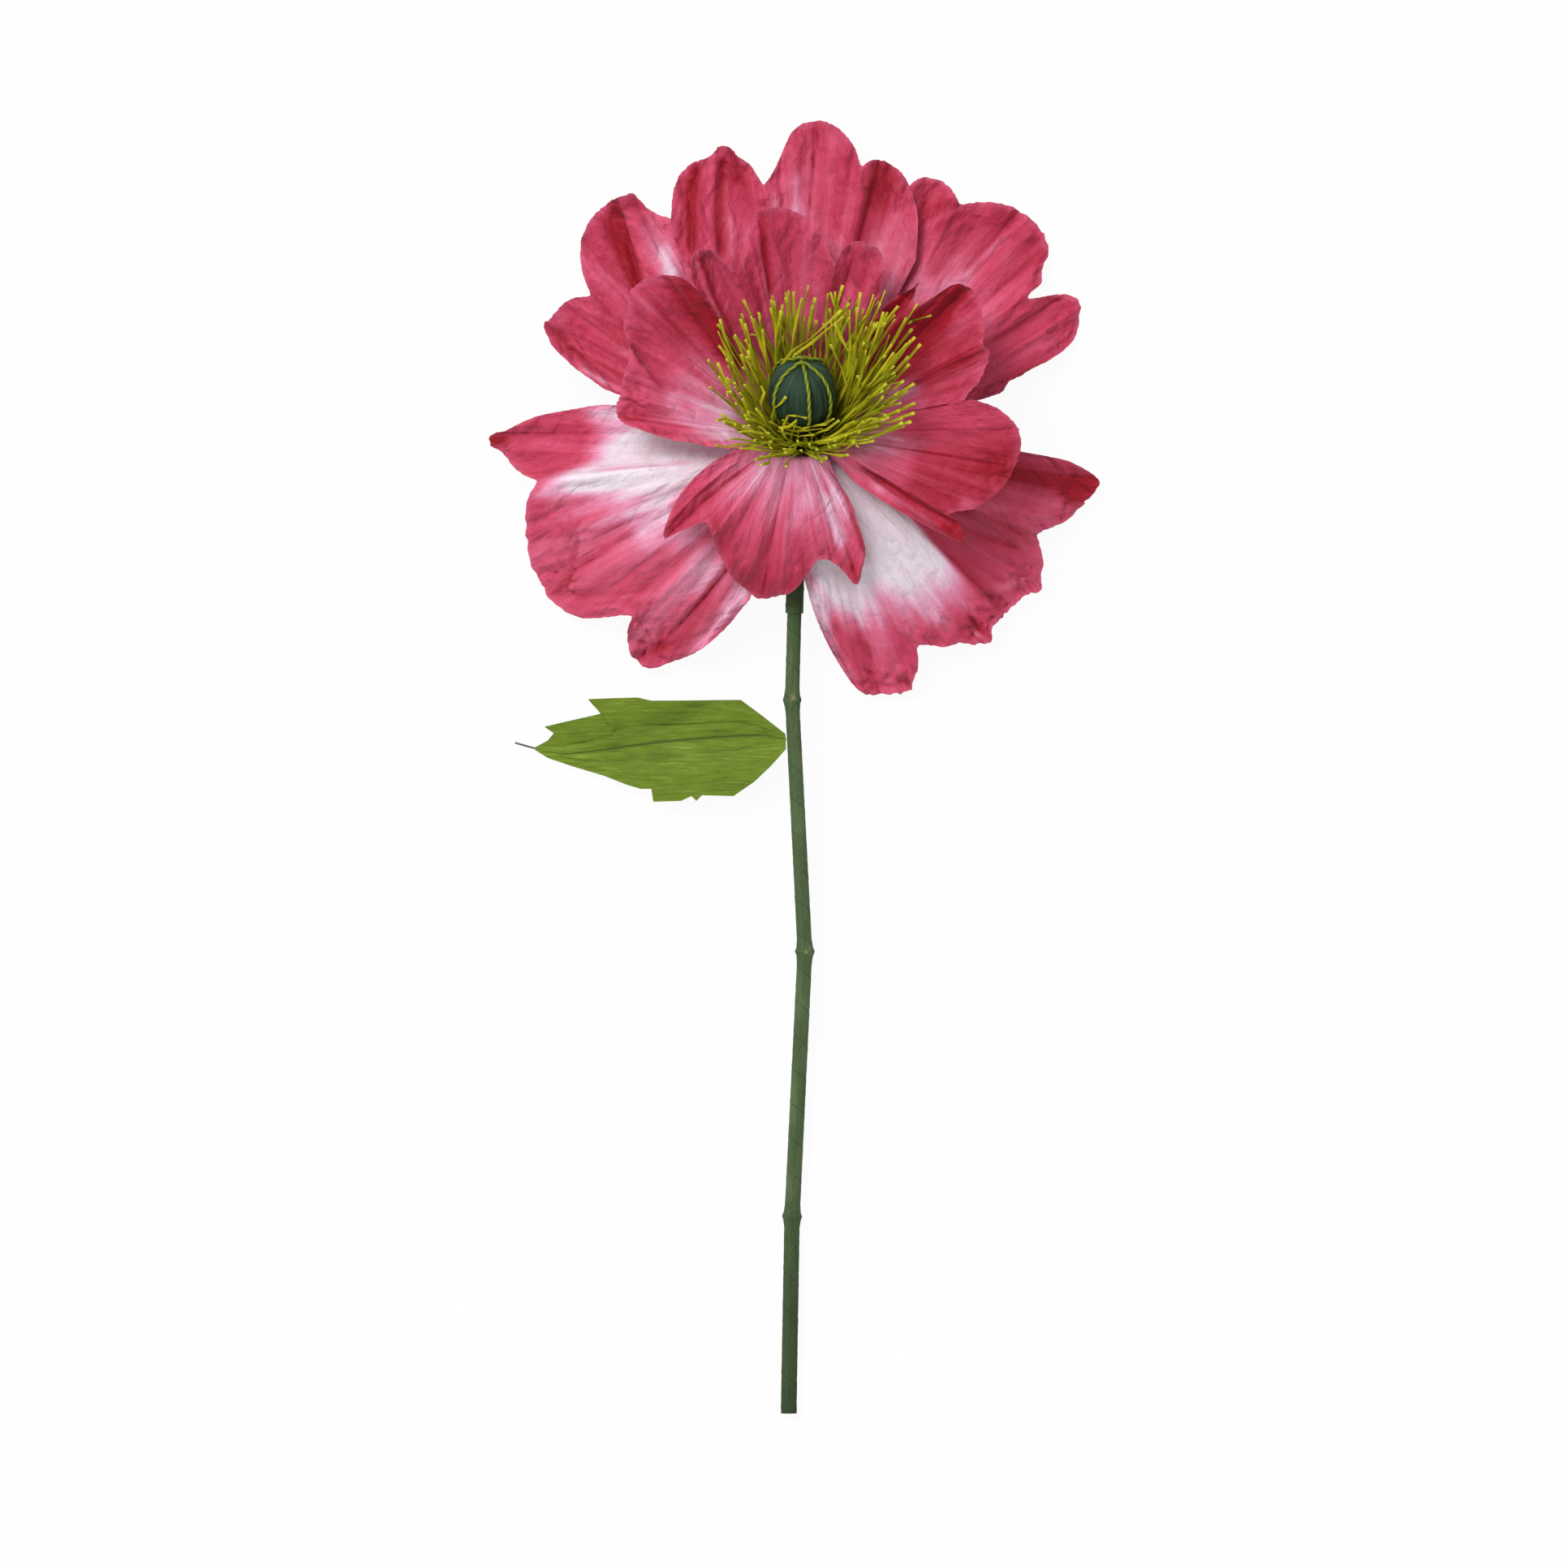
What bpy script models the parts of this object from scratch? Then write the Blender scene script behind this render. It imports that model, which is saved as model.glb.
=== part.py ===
"""A long-stemmed paper poppy, lying face up on a table as it comes to rest.

Metres, +Z up. The origin is the centre of the stem's cut end, +Y runs up the stem, and the
table lies one foot radius below the origin. Plan bearings are degrees counter-clockwise from
+X, seen from above. Head azimuths are degrees round the flower's own axis from +X, with 90 on
the far side of the head and 270 on the near side, which looks up from the table.
"""

import math
import random
from dataclasses import dataclass

import bmesh
import bpy
from mathutils import Vector

NAME = "paper_poppy"
MM = 0.001

# Sheets, wires and the clearance between pieces that touch
PAPER = 0.5 * MM
CREPE_TAPE = 0.4 * MM
COLLAR_WALL = 0.8 * MM
HEAD_WIRE_RADIUS = 1.5 * MM
LEAF_WIRE_RADIUS = 0.6 * MM
BINDING_WIRE_RADIUS = 0.5 * MM
POD_CORD_RADIUS = 0.85 * MM
SEAT_GAP = 0.3 * MM

# Stem: a cane in crepe tape, bent a little at each node, and the collar at its neck
FOOT_RADIUS = 4.95 * MM
NECK_RADIUS = 4.3 * MM
CANE_LENGTH = 556 * MM
CANE_NECK_SHIFT = 5.0 * MM
CANE_NECK_RISE = 23.0 * MM
SQUARE_END = 8 * MM
STEM_SIDES = 8
COLLAR_SIDES = 10
WIRE_SIDES = 6
THIN_WIRE_SIDES = 4
NODE_HALF_LENGTH = 8 * MM
NODE_PEAK = 1.6
STEM_NODES = (
    # distance up the stem, sideways bend, rise above the foot's axis, swelling
    (122 * MM, 2.0 * MM, 1.35 * MM, 1.3 * MM),
    (286 * MM, 9.9 * MM, 9.5 * MM, 1.4 * MM),
    (441.5 * MM, 2.0 * MM, 17.3 * MM, 1.3 * MM),
)
CANE_BORE_DEPTH = 16 * MM
COLLAR_START = CANE_LENGTH - 61 * MM
COLLAR_SETBACK = 1.2 * MM
COLLAR_STEPS = 5
NECK_STEPS = 6

# Head: where its axis starts beyond the cane, and how far it tips up from the table
HEAD_BASE = Vector((CANE_NECK_SHIFT + 3 * MM, CANE_LENGTH + 44 * MM, CANE_NECK_RISE + 20 * MM))
HEAD_TILT = math.radians(36.87)
HEAD_AXIS = Vector((0, math.cos(HEAD_TILT), math.sin(HEAD_TILT)))
HEAD_FAR = Vector((0, math.sin(HEAD_TILT), -math.cos(HEAD_TILT)))
HEAD_SIDE = Vector((1, 0, 0))
WIRE_STRAIGHT_FROM = -16 * MM

# Pod: a ball under drawn paper, with three cords crossing at its top
POD_CENTRE = 38 * MM
POD_RADIUS = 21 * MM
POD_SQUARENESS = 0.86
POD_SEGMENTS = 16
POD_RINGS = 8
POD_BORE_DEPTH = 14 * MM
CORD_REACH = math.radians(150)
CORD_SIDE_STEP = 1.7 * MM
CORD_CORNER = 4 * MM
CORD_HOP_WIDTH = 3 * MM
CORD_CROWDING = 0.2
CORD_POINTS = 19
# name, azimuth of the corner's middle, half the angle between the two legs
MIDDLE_CORD = ("pod_cord_middle", 12, 90)
CROSSING_CORDS = (("pod_cord_front", -89, 51), ("pod_cord_back", 91, 51))

# Stamens: two turns of strip wound round the wire, cut into strings
BAND_THICKNESS = 2.7 * MM
INNER_BAND = HEAD_WIRE_RADIUS + SEAT_GAP + 0.1 * MM
OUTER_BAND = INNER_BAND + BAND_THICKNESS + SEAT_GAP
STRING_WIDTH = 1.3 * MM
STRING_LEVELS = 4
STRING_SPREAD = 6
STRING_SHORTEST = 0.86
STRING_LONGEST = 1.06
STRING_SWAY = 0.05
STRING_SCATTER = 1.5


@dataclass
class Fringe:
    """One turn of cut strip: its band, the bend of its strings and their free length."""

    inner_radius: float
    bottom: float
    top: float
    strings: int
    knee: tuple
    brim: tuple
    flare: dict
    reach: dict
    seed: int


FRINGES = {
    "stamen_fringe_inner": Fringe(
        inner_radius=INNER_BAND,
        bottom=-8 * MM,
        top=5 * MM,
        strings=24,
        knee=(17 * MM, 9 * MM),
        brim=(24.5 * MM, 16 * MM),
        flare={"right": 36, "far": 10, "left": 36, "near": 62},
        reach={"right": 74 * MM, "far": 70 * MM, "left": 72 * MM, "near": 20 * MM},
        seed=3,
    ),
    "stamen_fringe_outer": Fringe(
        inner_radius=OUTER_BAND,
        bottom=-9 * MM,
        top=3 * MM,
        strings=26,
        knee=(18.5 * MM, 5.5 * MM),
        brim=(28 * MM, 13 * MM),
        flare={"right": 46, "far": 20, "left": 42, "near": 84},
        reach={"right": 62 * MM, "far": 56 * MM, "left": 58 * MM, "near": 16 * MM},
        seed=8,
    ),
}


# Claws: where the petals are bound round the stamens, one whorl outside the other
CLAW_GAP = 2 * SEAT_GAP
INNER_CLAW = OUTER_BAND + BAND_THICKNESS + CLAW_GAP + PAPER / 2
OUTER_CLAW = INNER_CLAW + PAPER + CLAW_GAP


@dataclass
class Whorl:
    """A ring of petals. Profile is (radius, distance along the axis) from claw to brim."""

    profile: tuple
    span: dict
    tip_height: dict
    arch: dict
    fold: float
    rows_beyond_brim: int


@dataclass
class Petal:
    """One cut petal: its claw's azimuths, its lobes and how far it lies over its neighbours.

    The outline lists notch, lobe, notch, lobe and so on, each as (plan bearing, reach).
    """

    whorl: str
    claw: tuple
    outline: tuple
    lift: float = 0.0
    roundness: float = 1.0


WHORLS = {
    "inner": Whorl(
        profile=(
            (INNER_CLAW, -11 * MM),
            (INNER_CLAW + 0.4 * MM, -3.5 * MM),
            (16 * MM, 2 * MM),
            (29 * MM, 9 * MM),
        ),
        span={"right": 136 * MM, "far": 146 * MM, "left": 132 * MM, "near": 100 * MM},
        tip_height={"right": 74 * MM, "far": 60 * MM, "left": 72 * MM, "near": 51 * MM},
        arch={"right": 2 * MM, "far": -6 * MM, "left": 2 * MM, "near": 8 * MM},
        fold=2.2 * MM,
        rows_beyond_brim=4,
    ),
    "outer": Whorl(
        profile=(
            (OUTER_CLAW, -13 * MM),
            (OUTER_CLAW + 0.4 * MM, -7.5 * MM),
            (18 * MM, -5 * MM),
            (32 * MM, -3 * MM),
        ),
        span={"right": 190 * MM, "far": 200 * MM, "left": 186 * MM, "near": 165 * MM},
        tip_height={"right": -0.2 * MM, "far": 13 * MM, "left": 5.5 * MM, "near": 9 * MM},
        arch={"right": 14 * MM, "far": -2 * MM, "left": 14 * MM, "near": 0 * MM},
        fold=2.4 * MM,
        rows_beyond_brim=5,
    ),
}

PETALS = {
    "inner_petal_top": Petal(
        "inner",
        (62, 124),
        ((65, 106 * MM), (75, 131 * MM), (81.5, 115 * MM), (95, 146 * MM), (110, 112 * MM),
         (118, 136 * MM), (124, 112 * MM)),
    ),
    "inner_petal_right": Petal(
        "inner",
        (18, 59),
        ((15, 106 * MM), (24, 128 * MM), (28, 126 * MM), (40, 144 * MM), (50, 110 * MM),
         (53, 127 * MM), (60, 92 * MM)),
        roundness=0.6,
    ),
    "inner_petal_lower_right": Petal(
        "inner",
        (-56, 15),
        ((-36, 55 * MM), (-31.5, 117 * MM), (-27, 100 * MM), (-4, 136 * MM), (14, 108 * MM)),
        roundness=0.8,
    ),
    "inner_petal_bottom": Petal(
        "inner",
        (208, 301),
        ((189, 42 * MM), (215, 103 * MM), (221, 75 * MM), (256, 102 * MM), (279, 72 * MM),
         (292, 92 * MM), (320, 24 * MM)),
        roundness=0.0,
    ),
    "inner_petal_left": Petal(
        "inner",
        (127, 205),
        ((125, 104 * MM), (136, 140 * MM), (155, 118 * MM), (171, 116 * MM), (186, 38 * MM)),
        lift=3 * MM,
        roundness=0.5,
    ),
    "outer_petal_top": Petal(
        "outer",
        (56, 122),
        ((58, 132 * MM), (72, 182 * MM), (78.5, 172 * MM), (88, 201 * MM), (98, 161 * MM),
         (105, 192 * MM), (120, 150 * MM)),
        lift=5 * MM,
    ),
    "outer_petal_upper_right": Petal(
        "outer",
        (2, 53),
        ((13, 108 * MM), (27, 192 * MM), (33, 164 * MM), (45, 203 * MM), (57, 172 * MM),
         (62, 185 * MM), (68, 150 * MM)),
    ),
    "outer_petal_lower_right": Petal(
        "outer",
        (-92, -1),
        ((-89, 84 * MM), (-69, 168 * MM), (-60, 142 * MM), (-37, 171 * MM), (-21, 157 * MM),
         (-7, 184 * MM), (-2, 130 * MM)),
    ),
    "outer_petal_lower_left": Petal(
        "outer",
        (172, 264),
        ((168, 112 * MM), (181, 190 * MM), (189, 165 * MM), (207, 183 * MM), (226, 150 * MM),
         (234, 170 * MM), (251, 98 * MM)),
    ),
    "outer_petal_left": Petal(
        "outer",
        (125, 169),
        ((119, 158 * MM), (123, 184 * MM), (125.5, 181 * MM), (131, 193 * MM), (146, 160 * MM),
         (155, 176 * MM), (166, 112 * MM)),
    ),
}
STEPS_PER_HALF_LOBE = 3
LOBE_FULLNESS = 0.62
LIFT_LENGTH = 22 * MM
BINDING_TURNS = 2
BINDING_POINTS = 12
BINDING_INSET = 0.8 * MM

# Leaf, in plan: stations out from the stem as (distance out, distance up the stem) in mm, each
# with a point on the midrib, on the upper cut edge and on the lower cut edge
LEAF_ALONG = STEM_NODES[-1][0] - 24.5 * MM
LEAF_TIP_HEIGHT = 2.2 * MM
LEAF_VALLEY = 3.0 * MM
LEAF_HALF_WIDTH = 30 * MM
LEAF_DROOP = 1.25
LEAF_CUP = 1.2
LEAF_RIPPLE = 0.8 * MM
LEAF_RIPPLE_LENGTH = 11
LEAF_STATIONS = (
    ((0.0, 0.0), (0.4, 3.5), (0.0, -6.0)),
    ((14.4, 3.0), (14.4, 14.5), (9.4, -16.5)),
    ((28.4, 2.6), (27.9, 24.5), (19.4, -26.0)),
    ((41.4, 1.8), (41.4, 24.4), (32.4, -35.0)),
    ((54.4, 0.7), (54.4, 24.2), (51.9, -34.5)),
    ((63.4, -0.1), (68.4, 24.1), (55.4, -38.0)),
    ((70.4, -0.7), (82.9, 24.0), (58.4, -35.0)),
    ((78.4, -1.5), (91.9, 26.0), (64.9, -38.0)),
    ((87.4, -2.8), (107.4, 25.6), (81.9, -38.5)),
    ((96.4, -4.0), (122.4, 25.0), (79.4, -30.5)),
    ((105.4, -5.2), (112.4, 16.5), (89.9, -30.5)),
    ((115.4, -6.6), (131.4, 12.2), (98.4, -28.0)),
    ((126.4, -8.0), (149.4, 8.0), (112.4, -22.5)),
    ((137.4, -9.0), (142.4, 5.5), (132.4, -16.5)),
    ((147.4, -7.8), (147.4, -0.5), (147.4, -11.4)),
    ((154.4, -5.8), (155.4, -4.8), (155.4, -6.4)),
)
LEAF_ROWS_PER_SIDE = 2
LEAF_WIRE_TIP = (168.0, -2.0)

# Colours as (red, green, blue), roughness, metallic
FINISHES = {
    "petal": ((0.54, 0.045, 0.11), 0.75, 0.0),
    "leaf": ((0.14, 0.30, 0.035), 0.8, 0.0),
    "tape": ((0.078, 0.16, 0.06), 0.8, 0.0),
    "cane": ((0.45, 0.30, 0.13), 0.6, 0.0),
    "pod": ((0.024, 0.068, 0.045), 0.8, 0.0),
    "ball": ((0.75, 0.72, 0.66), 0.9, 0.0),
    "cord": ((0.26, 0.32, 0.024), 0.8, 0.0),
    "string": ((0.39, 0.44, 0.015), 0.8, 0.0),
    "wire": ((0.30, 0.31, 0.30), 0.4, 1.0),
}


def clear_scene():
    for item in list(bpy.data.objects):
        bpy.data.objects.remove(item, do_unlink=True)


def new_collection(name):
    collection = bpy.data.collections.new(name)
    bpy.context.scene.collection.children.link(collection)
    return collection


def material(finish):
    colour, roughness, metallic = FINISHES[finish]
    made = bpy.data.materials.get(finish) or bpy.data.materials.new(finish)
    made.use_nodes = True
    shader = made.node_tree.nodes["Principled BSDF"]
    shader.inputs["Base Color"].default_value = (*colour, 1)
    shader.inputs["Roughness"].default_value = roughness
    shader.inputs["Metallic"].default_value = metallic
    return made


def place(name, mesh, finish, collection):
    """An object of this mesh in the collection, in its finish."""
    mesh.name = name
    mesh.materials.clear()
    mesh.materials.append(material(finish))
    made = bpy.data.objects.new(name, mesh)
    collection.objects.link(made)
    return made


def mesh_from(bm, name):
    mesh = bpy.data.meshes.new(name)
    bm.to_mesh(mesh)
    bm.free()
    return mesh


def smooth(mesh, angle=40):
    mesh.shade_smooth()
    mesh.set_sharp_from_angle(angle=math.radians(angle))


def thicken(made, thickness, offset):
    """Gives an open sheet its thickness: offset 1 outwards, -1 inwards, 0 half each way."""
    solidify = made.modifiers.new("thickness", "SOLIDIFY")
    solidify.thickness = thickness
    solidify.offset = offset
    return made


def cut_away(made, cutter):
    cut = made.modifiers.new("bore", "BOOLEAN")
    cut.operation = "DIFFERENCE"
    cut.solver = "EXACT"
    cut.object = cutter
    cutter.hide_render = True
    cutter.display_type = "WIRE"


def over_flats(radius, sides):
    """The corner radius of a many-sided tube whose flats lie at this radius."""
    return radius / math.cos(math.pi / sides)


def swept_mesh(name, points, radii, sides, capped=True):
    """The mesh of a tube of this many sides along these points, open unless capped."""
    curve = bpy.data.curves.new(name, "CURVE")
    curve.dimensions = "3D"
    curve.bevel_depth = 1.0
    curve.bevel_resolution = (sides - 4) // 2
    curve.use_fill_caps = capped
    spline = curve.splines.new("POLY")
    spline.points.add(len(points) - 1)
    for point, place_, radius in zip(spline.points, points, radii):
        point.co = (*place_, 1)
        point.radius = radius
    guide = bpy.data.objects.new(name, curve)
    bpy.context.scene.collection.objects.link(guide)
    bpy.context.view_layer.update()
    graph = bpy.context.evaluated_depsgraph_get()
    mesh = bpy.data.meshes.new_from_object(guide.evaluated_get(graph))
    bpy.data.objects.remove(guide, do_unlink=True)
    bpy.data.curves.remove(curve)
    bm = bmesh.new()
    bm.from_mesh(mesh)
    bmesh.ops.remove_doubles(bm, verts=bm.verts, dist=1e-6)
    bm.to_mesh(mesh)
    bm.free()
    smooth(mesh)
    return mesh


def blend(low, high, share):
    return low + (high - low) * share


def ease(share):
    share = min(max(share, 0.0), 1.0)
    return share * share * (3 - 2 * share)


def around(sides, bearing):
    """The value at a bearing in degrees, from the values on the four sides."""
    across = math.cos(math.radians(bearing))
    along = math.sin(math.radians(bearing))
    sideways = sides["right"] if across > 0 else sides["left"]
    lengthways = sides["far"] if along > 0 else sides["near"]
    return sideways * across * across + lengthways * along * along


def above_table(height):
    return height - FOOT_RADIUS


def head_point(azimuth, radius, along):
    """A point of the flower's head: degrees round its axis, radius from it, distance along it."""
    turn = math.radians(azimuth)
    outward = HEAD_SIDE * math.cos(turn) + HEAD_FAR * math.sin(turn)
    return HEAD_BASE + HEAD_AXIS * along + outward * radius


# Stem


def stem_corners():
    """The points where the stem's axis bends, from its foot to the top of the cane."""
    corners = [Vector((0, 0, 0)), Vector((0, SQUARE_END, 0))]
    corners += [Vector((shift, along, rise)) for along, shift, rise, _ in STEM_NODES]
    corners.append(Vector((CANE_NECK_SHIFT, CANE_LENGTH, CANE_NECK_RISE)))
    return corners


def stem_axis(along):
    """The point of the stem's axis this far up the stem."""
    corners = stem_corners()
    for low, high in zip(corners, corners[1:]):
        if along <= high.y:
            return low.lerp(high, (along - low.y) / (high.y - low.y))
    return corners[-1].copy()


def stem_radius(along):
    """The outer radius of the taped stem, with a swelling at each node."""
    radius = blend(FOOT_RADIUS, NECK_RADIUS, along / CANE_LENGTH)
    for node, _, _, swelling in STEM_NODES:
        radius += swelling * max(0.0, 1 - abs(along - node) / NODE_HALF_LENGTH) ** NODE_PEAK
    return radius


def stem_stations(end):
    """Distances up the stem: close together at the nodes, and one between them."""
    found = {0.0, SQUARE_END, end}
    for node, _, _, _ in STEM_NODES:
        found |= {node + NODE_HALF_LENGTH * step for step in (-1, -0.45, 0, 0.45, 1)}
    middles = [(low[0] + high[0]) / 2 for low, high in zip(STEM_NODES, STEM_NODES[1:])]
    found |= set(middles)
    return sorted(station for station in found if station <= end)


def neck_axis(share):
    """The bend from the top of the cane into the head's axis, for share from 0 to 1."""
    corners = stem_corners()
    start = corners[-1]
    leaving = (corners[-1] - corners[-2]).normalized()
    end = HEAD_BASE + HEAD_AXIS * WIRE_STRAIGHT_FROM
    pull = (end - start).length
    back, on = 1 - share, share
    return (
        start * (back * back * (1 + 2 * on))
        + end * (on * on * (3 - 2 * on))
        + leaving * (pull * back * back * on)
        - HEAD_AXIS * (pull * on * on * back)
    )


def build_stem(parts, cutters):
    sleeve_inside = CREPE_TAPE + SEAT_GAP
    stations = stem_stations(CANE_LENGTH)
    axis = [stem_axis(along) for along in stations]
    cane_radii = [stem_radius(along) - sleeve_inside for along in stations]
    cane = place("bamboo_cane", swept_mesh("cane", axis, cane_radii, STEM_SIDES), "cane", parts)
    leaving = (axis[-1] - axis[-2]).normalized()
    bore_start = axis[-1] - leaving * CANE_BORE_DEPTH
    bore = swept_mesh(
        "bore",
        (bore_start, axis[-1] + leaving * CANE_BORE_DEPTH),
        [over_flats(HEAD_WIRE_RADIUS + SEAT_GAP, WIRE_SIDES)] * 2,
        WIRE_SIDES,
    )
    cut_away(cane, place("cane_bore", bore, "wire", cutters))

    tape_radii = [stem_radius(along) - CREPE_TAPE for along in stations]
    sleeve = swept_mesh("tape", axis, tape_radii, STEM_SIDES, capped=False)
    thicken(place("stem_tape", sleeve, "tape", parts), CREPE_TAPE, 1)
    build_head_wire(parts, bore_start, leaving)
    build_collar(parts)


def build_head_wire(parts, bore_start, leaving):
    """The wire from the cane's bore, round the bend and up into the pod's ball."""
    route = [bore_start + leaving * SEAT_GAP]
    route += [neck_axis(step / NECK_STEPS) for step in range(NECK_STEPS + 1)]
    pod_bottom = POD_CENTRE - POD_RADIUS
    route += [head_point(0, 0, pod_bottom), head_point(0, 0, pod_bottom + POD_BORE_DEPTH)]
    mesh = swept_mesh("wire", route, [HEAD_WIRE_RADIUS] * len(route), WIRE_SIDES)
    place("head_wire", mesh, "wire", parts)


def build_collar(parts):
    """The tape collar: snug on the stem, then widening round the bound claws."""
    route = [stem_axis(COLLAR_START), stem_axis(blend(COLLAR_START, CANE_LENGTH, 0.5))]
    bend = [step / COLLAR_STEPS for step in range(COLLAR_STEPS + 1)]
    route += [neck_axis(share) for share in bend]
    binding = over_flats(binding_outer_radius() + SEAT_GAP, COLLAR_SIDES)
    snug = over_flats(stem_radius(COLLAR_START) + SEAT_GAP, COLLAR_SIDES)
    radii = [snug, snug] + [blend(snug, binding, ease(share)) for share in bend]
    route.append(head_point(0, 0, WHORLS["outer"].profile[1][1] - COLLAR_SETBACK))
    radii.append(binding)
    sleeve = swept_mesh("collar", route, radii, COLLAR_SIDES, capped=False)
    thicken(place("neck_wrap", sleeve, "tape", parts), COLLAR_WALL, 1)


# Pod


def pod_point(azimuth, polar, height=0.0):
    """A point over the pod's paper, polar radians down from its top, this far off the paper."""
    radius = POD_RADIUS + height
    round_ = abs(math.sin(polar)) ** POD_SQUARENESS
    up = math.copysign(abs(math.cos(polar)) ** POD_SQUARENESS, math.cos(polar))
    return head_point(azimuth, radius * round_, POD_CENTRE + radius * up)


def pod_ball_mesh(name, depth_inside):
    """A closed ball this far inside the pod's paper."""
    bm = bmesh.new()
    bmesh.ops.create_uvsphere(bm, u_segments=POD_SEGMENTS, v_segments=POD_RINGS, radius=1)
    for vert in bm.verts:
        azimuth = math.degrees(math.atan2(vert.co.y, vert.co.x))
        polar = math.acos(max(-1.0, min(1.0, vert.co.z)))
        vert.co = pod_point(azimuth, polar, -depth_inside)
    bmesh.ops.recalc_face_normals(bm, faces=bm.faces)
    return mesh_from(bm, name)


def build_pod(parts, cutters):
    cover = pod_ball_mesh("pod_cover", 0)
    bm = bmesh.new()
    bm.from_mesh(cover)
    lowest = min(bm.verts, key=lambda vert: (vert.co - HEAD_BASE).dot(HEAD_AXIS))
    bmesh.ops.delete(bm, geom=[lowest], context="VERTS")
    bm.to_mesh(cover)
    bm.free()
    smooth(cover, 60)
    thicken(place("pod_cover", cover, "pod", parts), PAPER, -1)

    ball = place("pod_ball", pod_ball_mesh("pod_ball", PAPER + SEAT_GAP), "ball", parts)
    pod_bottom = POD_CENTRE - POD_RADIUS
    ends = [head_point(0, 0, pod_bottom - POD_BORE_DEPTH)]
    ends.append(head_point(0, 0, pod_bottom + POD_BORE_DEPTH + SEAT_GAP))
    bore_radius = over_flats(HEAD_WIRE_RADIUS + SEAT_GAP, WIRE_SIDES)
    bore = swept_mesh("bore", ends, [bore_radius] * 2, WIRE_SIDES)
    cut_away(ball, place("ball_bore", bore, "wire", cutters))

    build_cord(parts, *MIDDLE_CORD, 0, 0)
    hop = 2 * POD_CORD_RADIUS + SEAT_GAP
    for cord in CROSSING_CORDS:
        build_cord(parts, *cord, CORD_SIDE_STEP, hop)


def build_cord(parts, name, azimuth, half_angle, side_step, hop):
    """A cord over the pod: two legs this half angle either side of an azimuth.

    It passes the top at side_step, and hops over the cord under it by hop.
    """
    seat = POD_CORD_RADIUS + SEAT_GAP
    length = POD_RADIUS * CORD_REACH
    route = []
    for step in range(CORD_POINTS):
        share = 2 * step / (CORD_POINTS - 1) - 1
        along = length * share * abs(share) ** CORD_CROWDING
        turned = math.hypot(along, CORD_CORNER) - CORD_CORNER
        out = side_step + math.cos(math.radians(half_angle)) * turned
        across = math.sin(math.radians(half_angle)) * along
        polar = math.hypot(out, across) / POD_RADIUS
        bearing = azimuth + math.degrees(math.atan2(across, out))
        hopping = hop * math.exp(-((across / CORD_HOP_WIDTH) ** 2))
        route.append(pod_point(bearing, polar, seat + hopping))
    mesh = swept_mesh(name, route, [POD_CORD_RADIUS] * len(route), WIRE_SIDES)
    place(name, mesh, "cord", parts)


# Stamens


def string_route(fringe, azimuth, draw):
    """The levels of one string, from its band to its free end, as head points."""
    flare = math.radians(around(fringe.flare, azimuth) + draw.uniform(-STRING_SPREAD, STRING_SPREAD))
    reach = around(fringe.reach, azimuth) * draw.uniform(STRING_SHORTEST, STRING_LONGEST)
    outward = (head_point(azimuth, 1, 0) - head_point(azimuth, 0, 0)).normalized()
    free = HEAD_AXIS * math.cos(flare) + outward * math.sin(flare)
    sway = HEAD_AXIS.cross(outward) * draw.uniform(-STRING_SWAY, STRING_SWAY)
    brim = head_point(azimuth, *fringe.brim)
    route = [head_point(azimuth, *fringe.knee), brim]
    free_levels = STRING_LEVELS - 2
    for level in range(1, free_levels + 1):
        share = level / free_levels
        route.append(brim + free * (reach * share) + sway * (reach * share * share))
    return route


def build_fringe(name, fringe, parts):
    """A closed band round the head's axis with a string drawn out of every second top face."""
    draw = random.Random(fringe.seed)
    segments = fringe.strings * 2
    outer_radius = fringe.inner_radius + BAND_THICKNESS
    bm = bmesh.new()
    corners = [
        (fringe.inner_radius, fringe.bottom),
        (outer_radius, fringe.bottom),
        (outer_radius, fringe.top),
        (fringe.inner_radius, fringe.top),
    ]
    profile = [bm.verts.new(head_point(0, *corner)) for corner in corners]
    edges = [bm.edges.new((profile[i], profile[(i + 1) % 4])) for i in range(4)]
    bmesh.ops.spin(
        bm,
        geom=profile + edges,
        cent=HEAD_BASE,
        axis=HEAD_AXIS,
        angle=math.tau,
        steps=segments,
        use_merge=True,
    )
    bmesh.ops.remove_doubles(bm, verts=bm.verts, dist=1e-6)
    bmesh.ops.recalc_face_normals(bm, faces=bm.faces)
    on_top = [face for face in bm.faces if face.normal.dot(HEAD_AXIS) > 0.9]
    on_top.sort(key=lambda face: azimuth_of(face.calc_center_median()))
    for face in on_top[::2]:
        scatter = draw.uniform(-STRING_SCATTER, STRING_SCATTER)
        azimuth = azimuth_of(face.calc_center_median()) + scatter
        draw_string(bm, face, string_route(fringe, azimuth, draw))
    place(name, mesh_from(bm, name), "string", parts)


def azimuth_of(point):
    out = point - HEAD_BASE
    return math.degrees(math.atan2(out.dot(HEAD_FAR), out.dot(HEAD_SIDE)))


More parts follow.
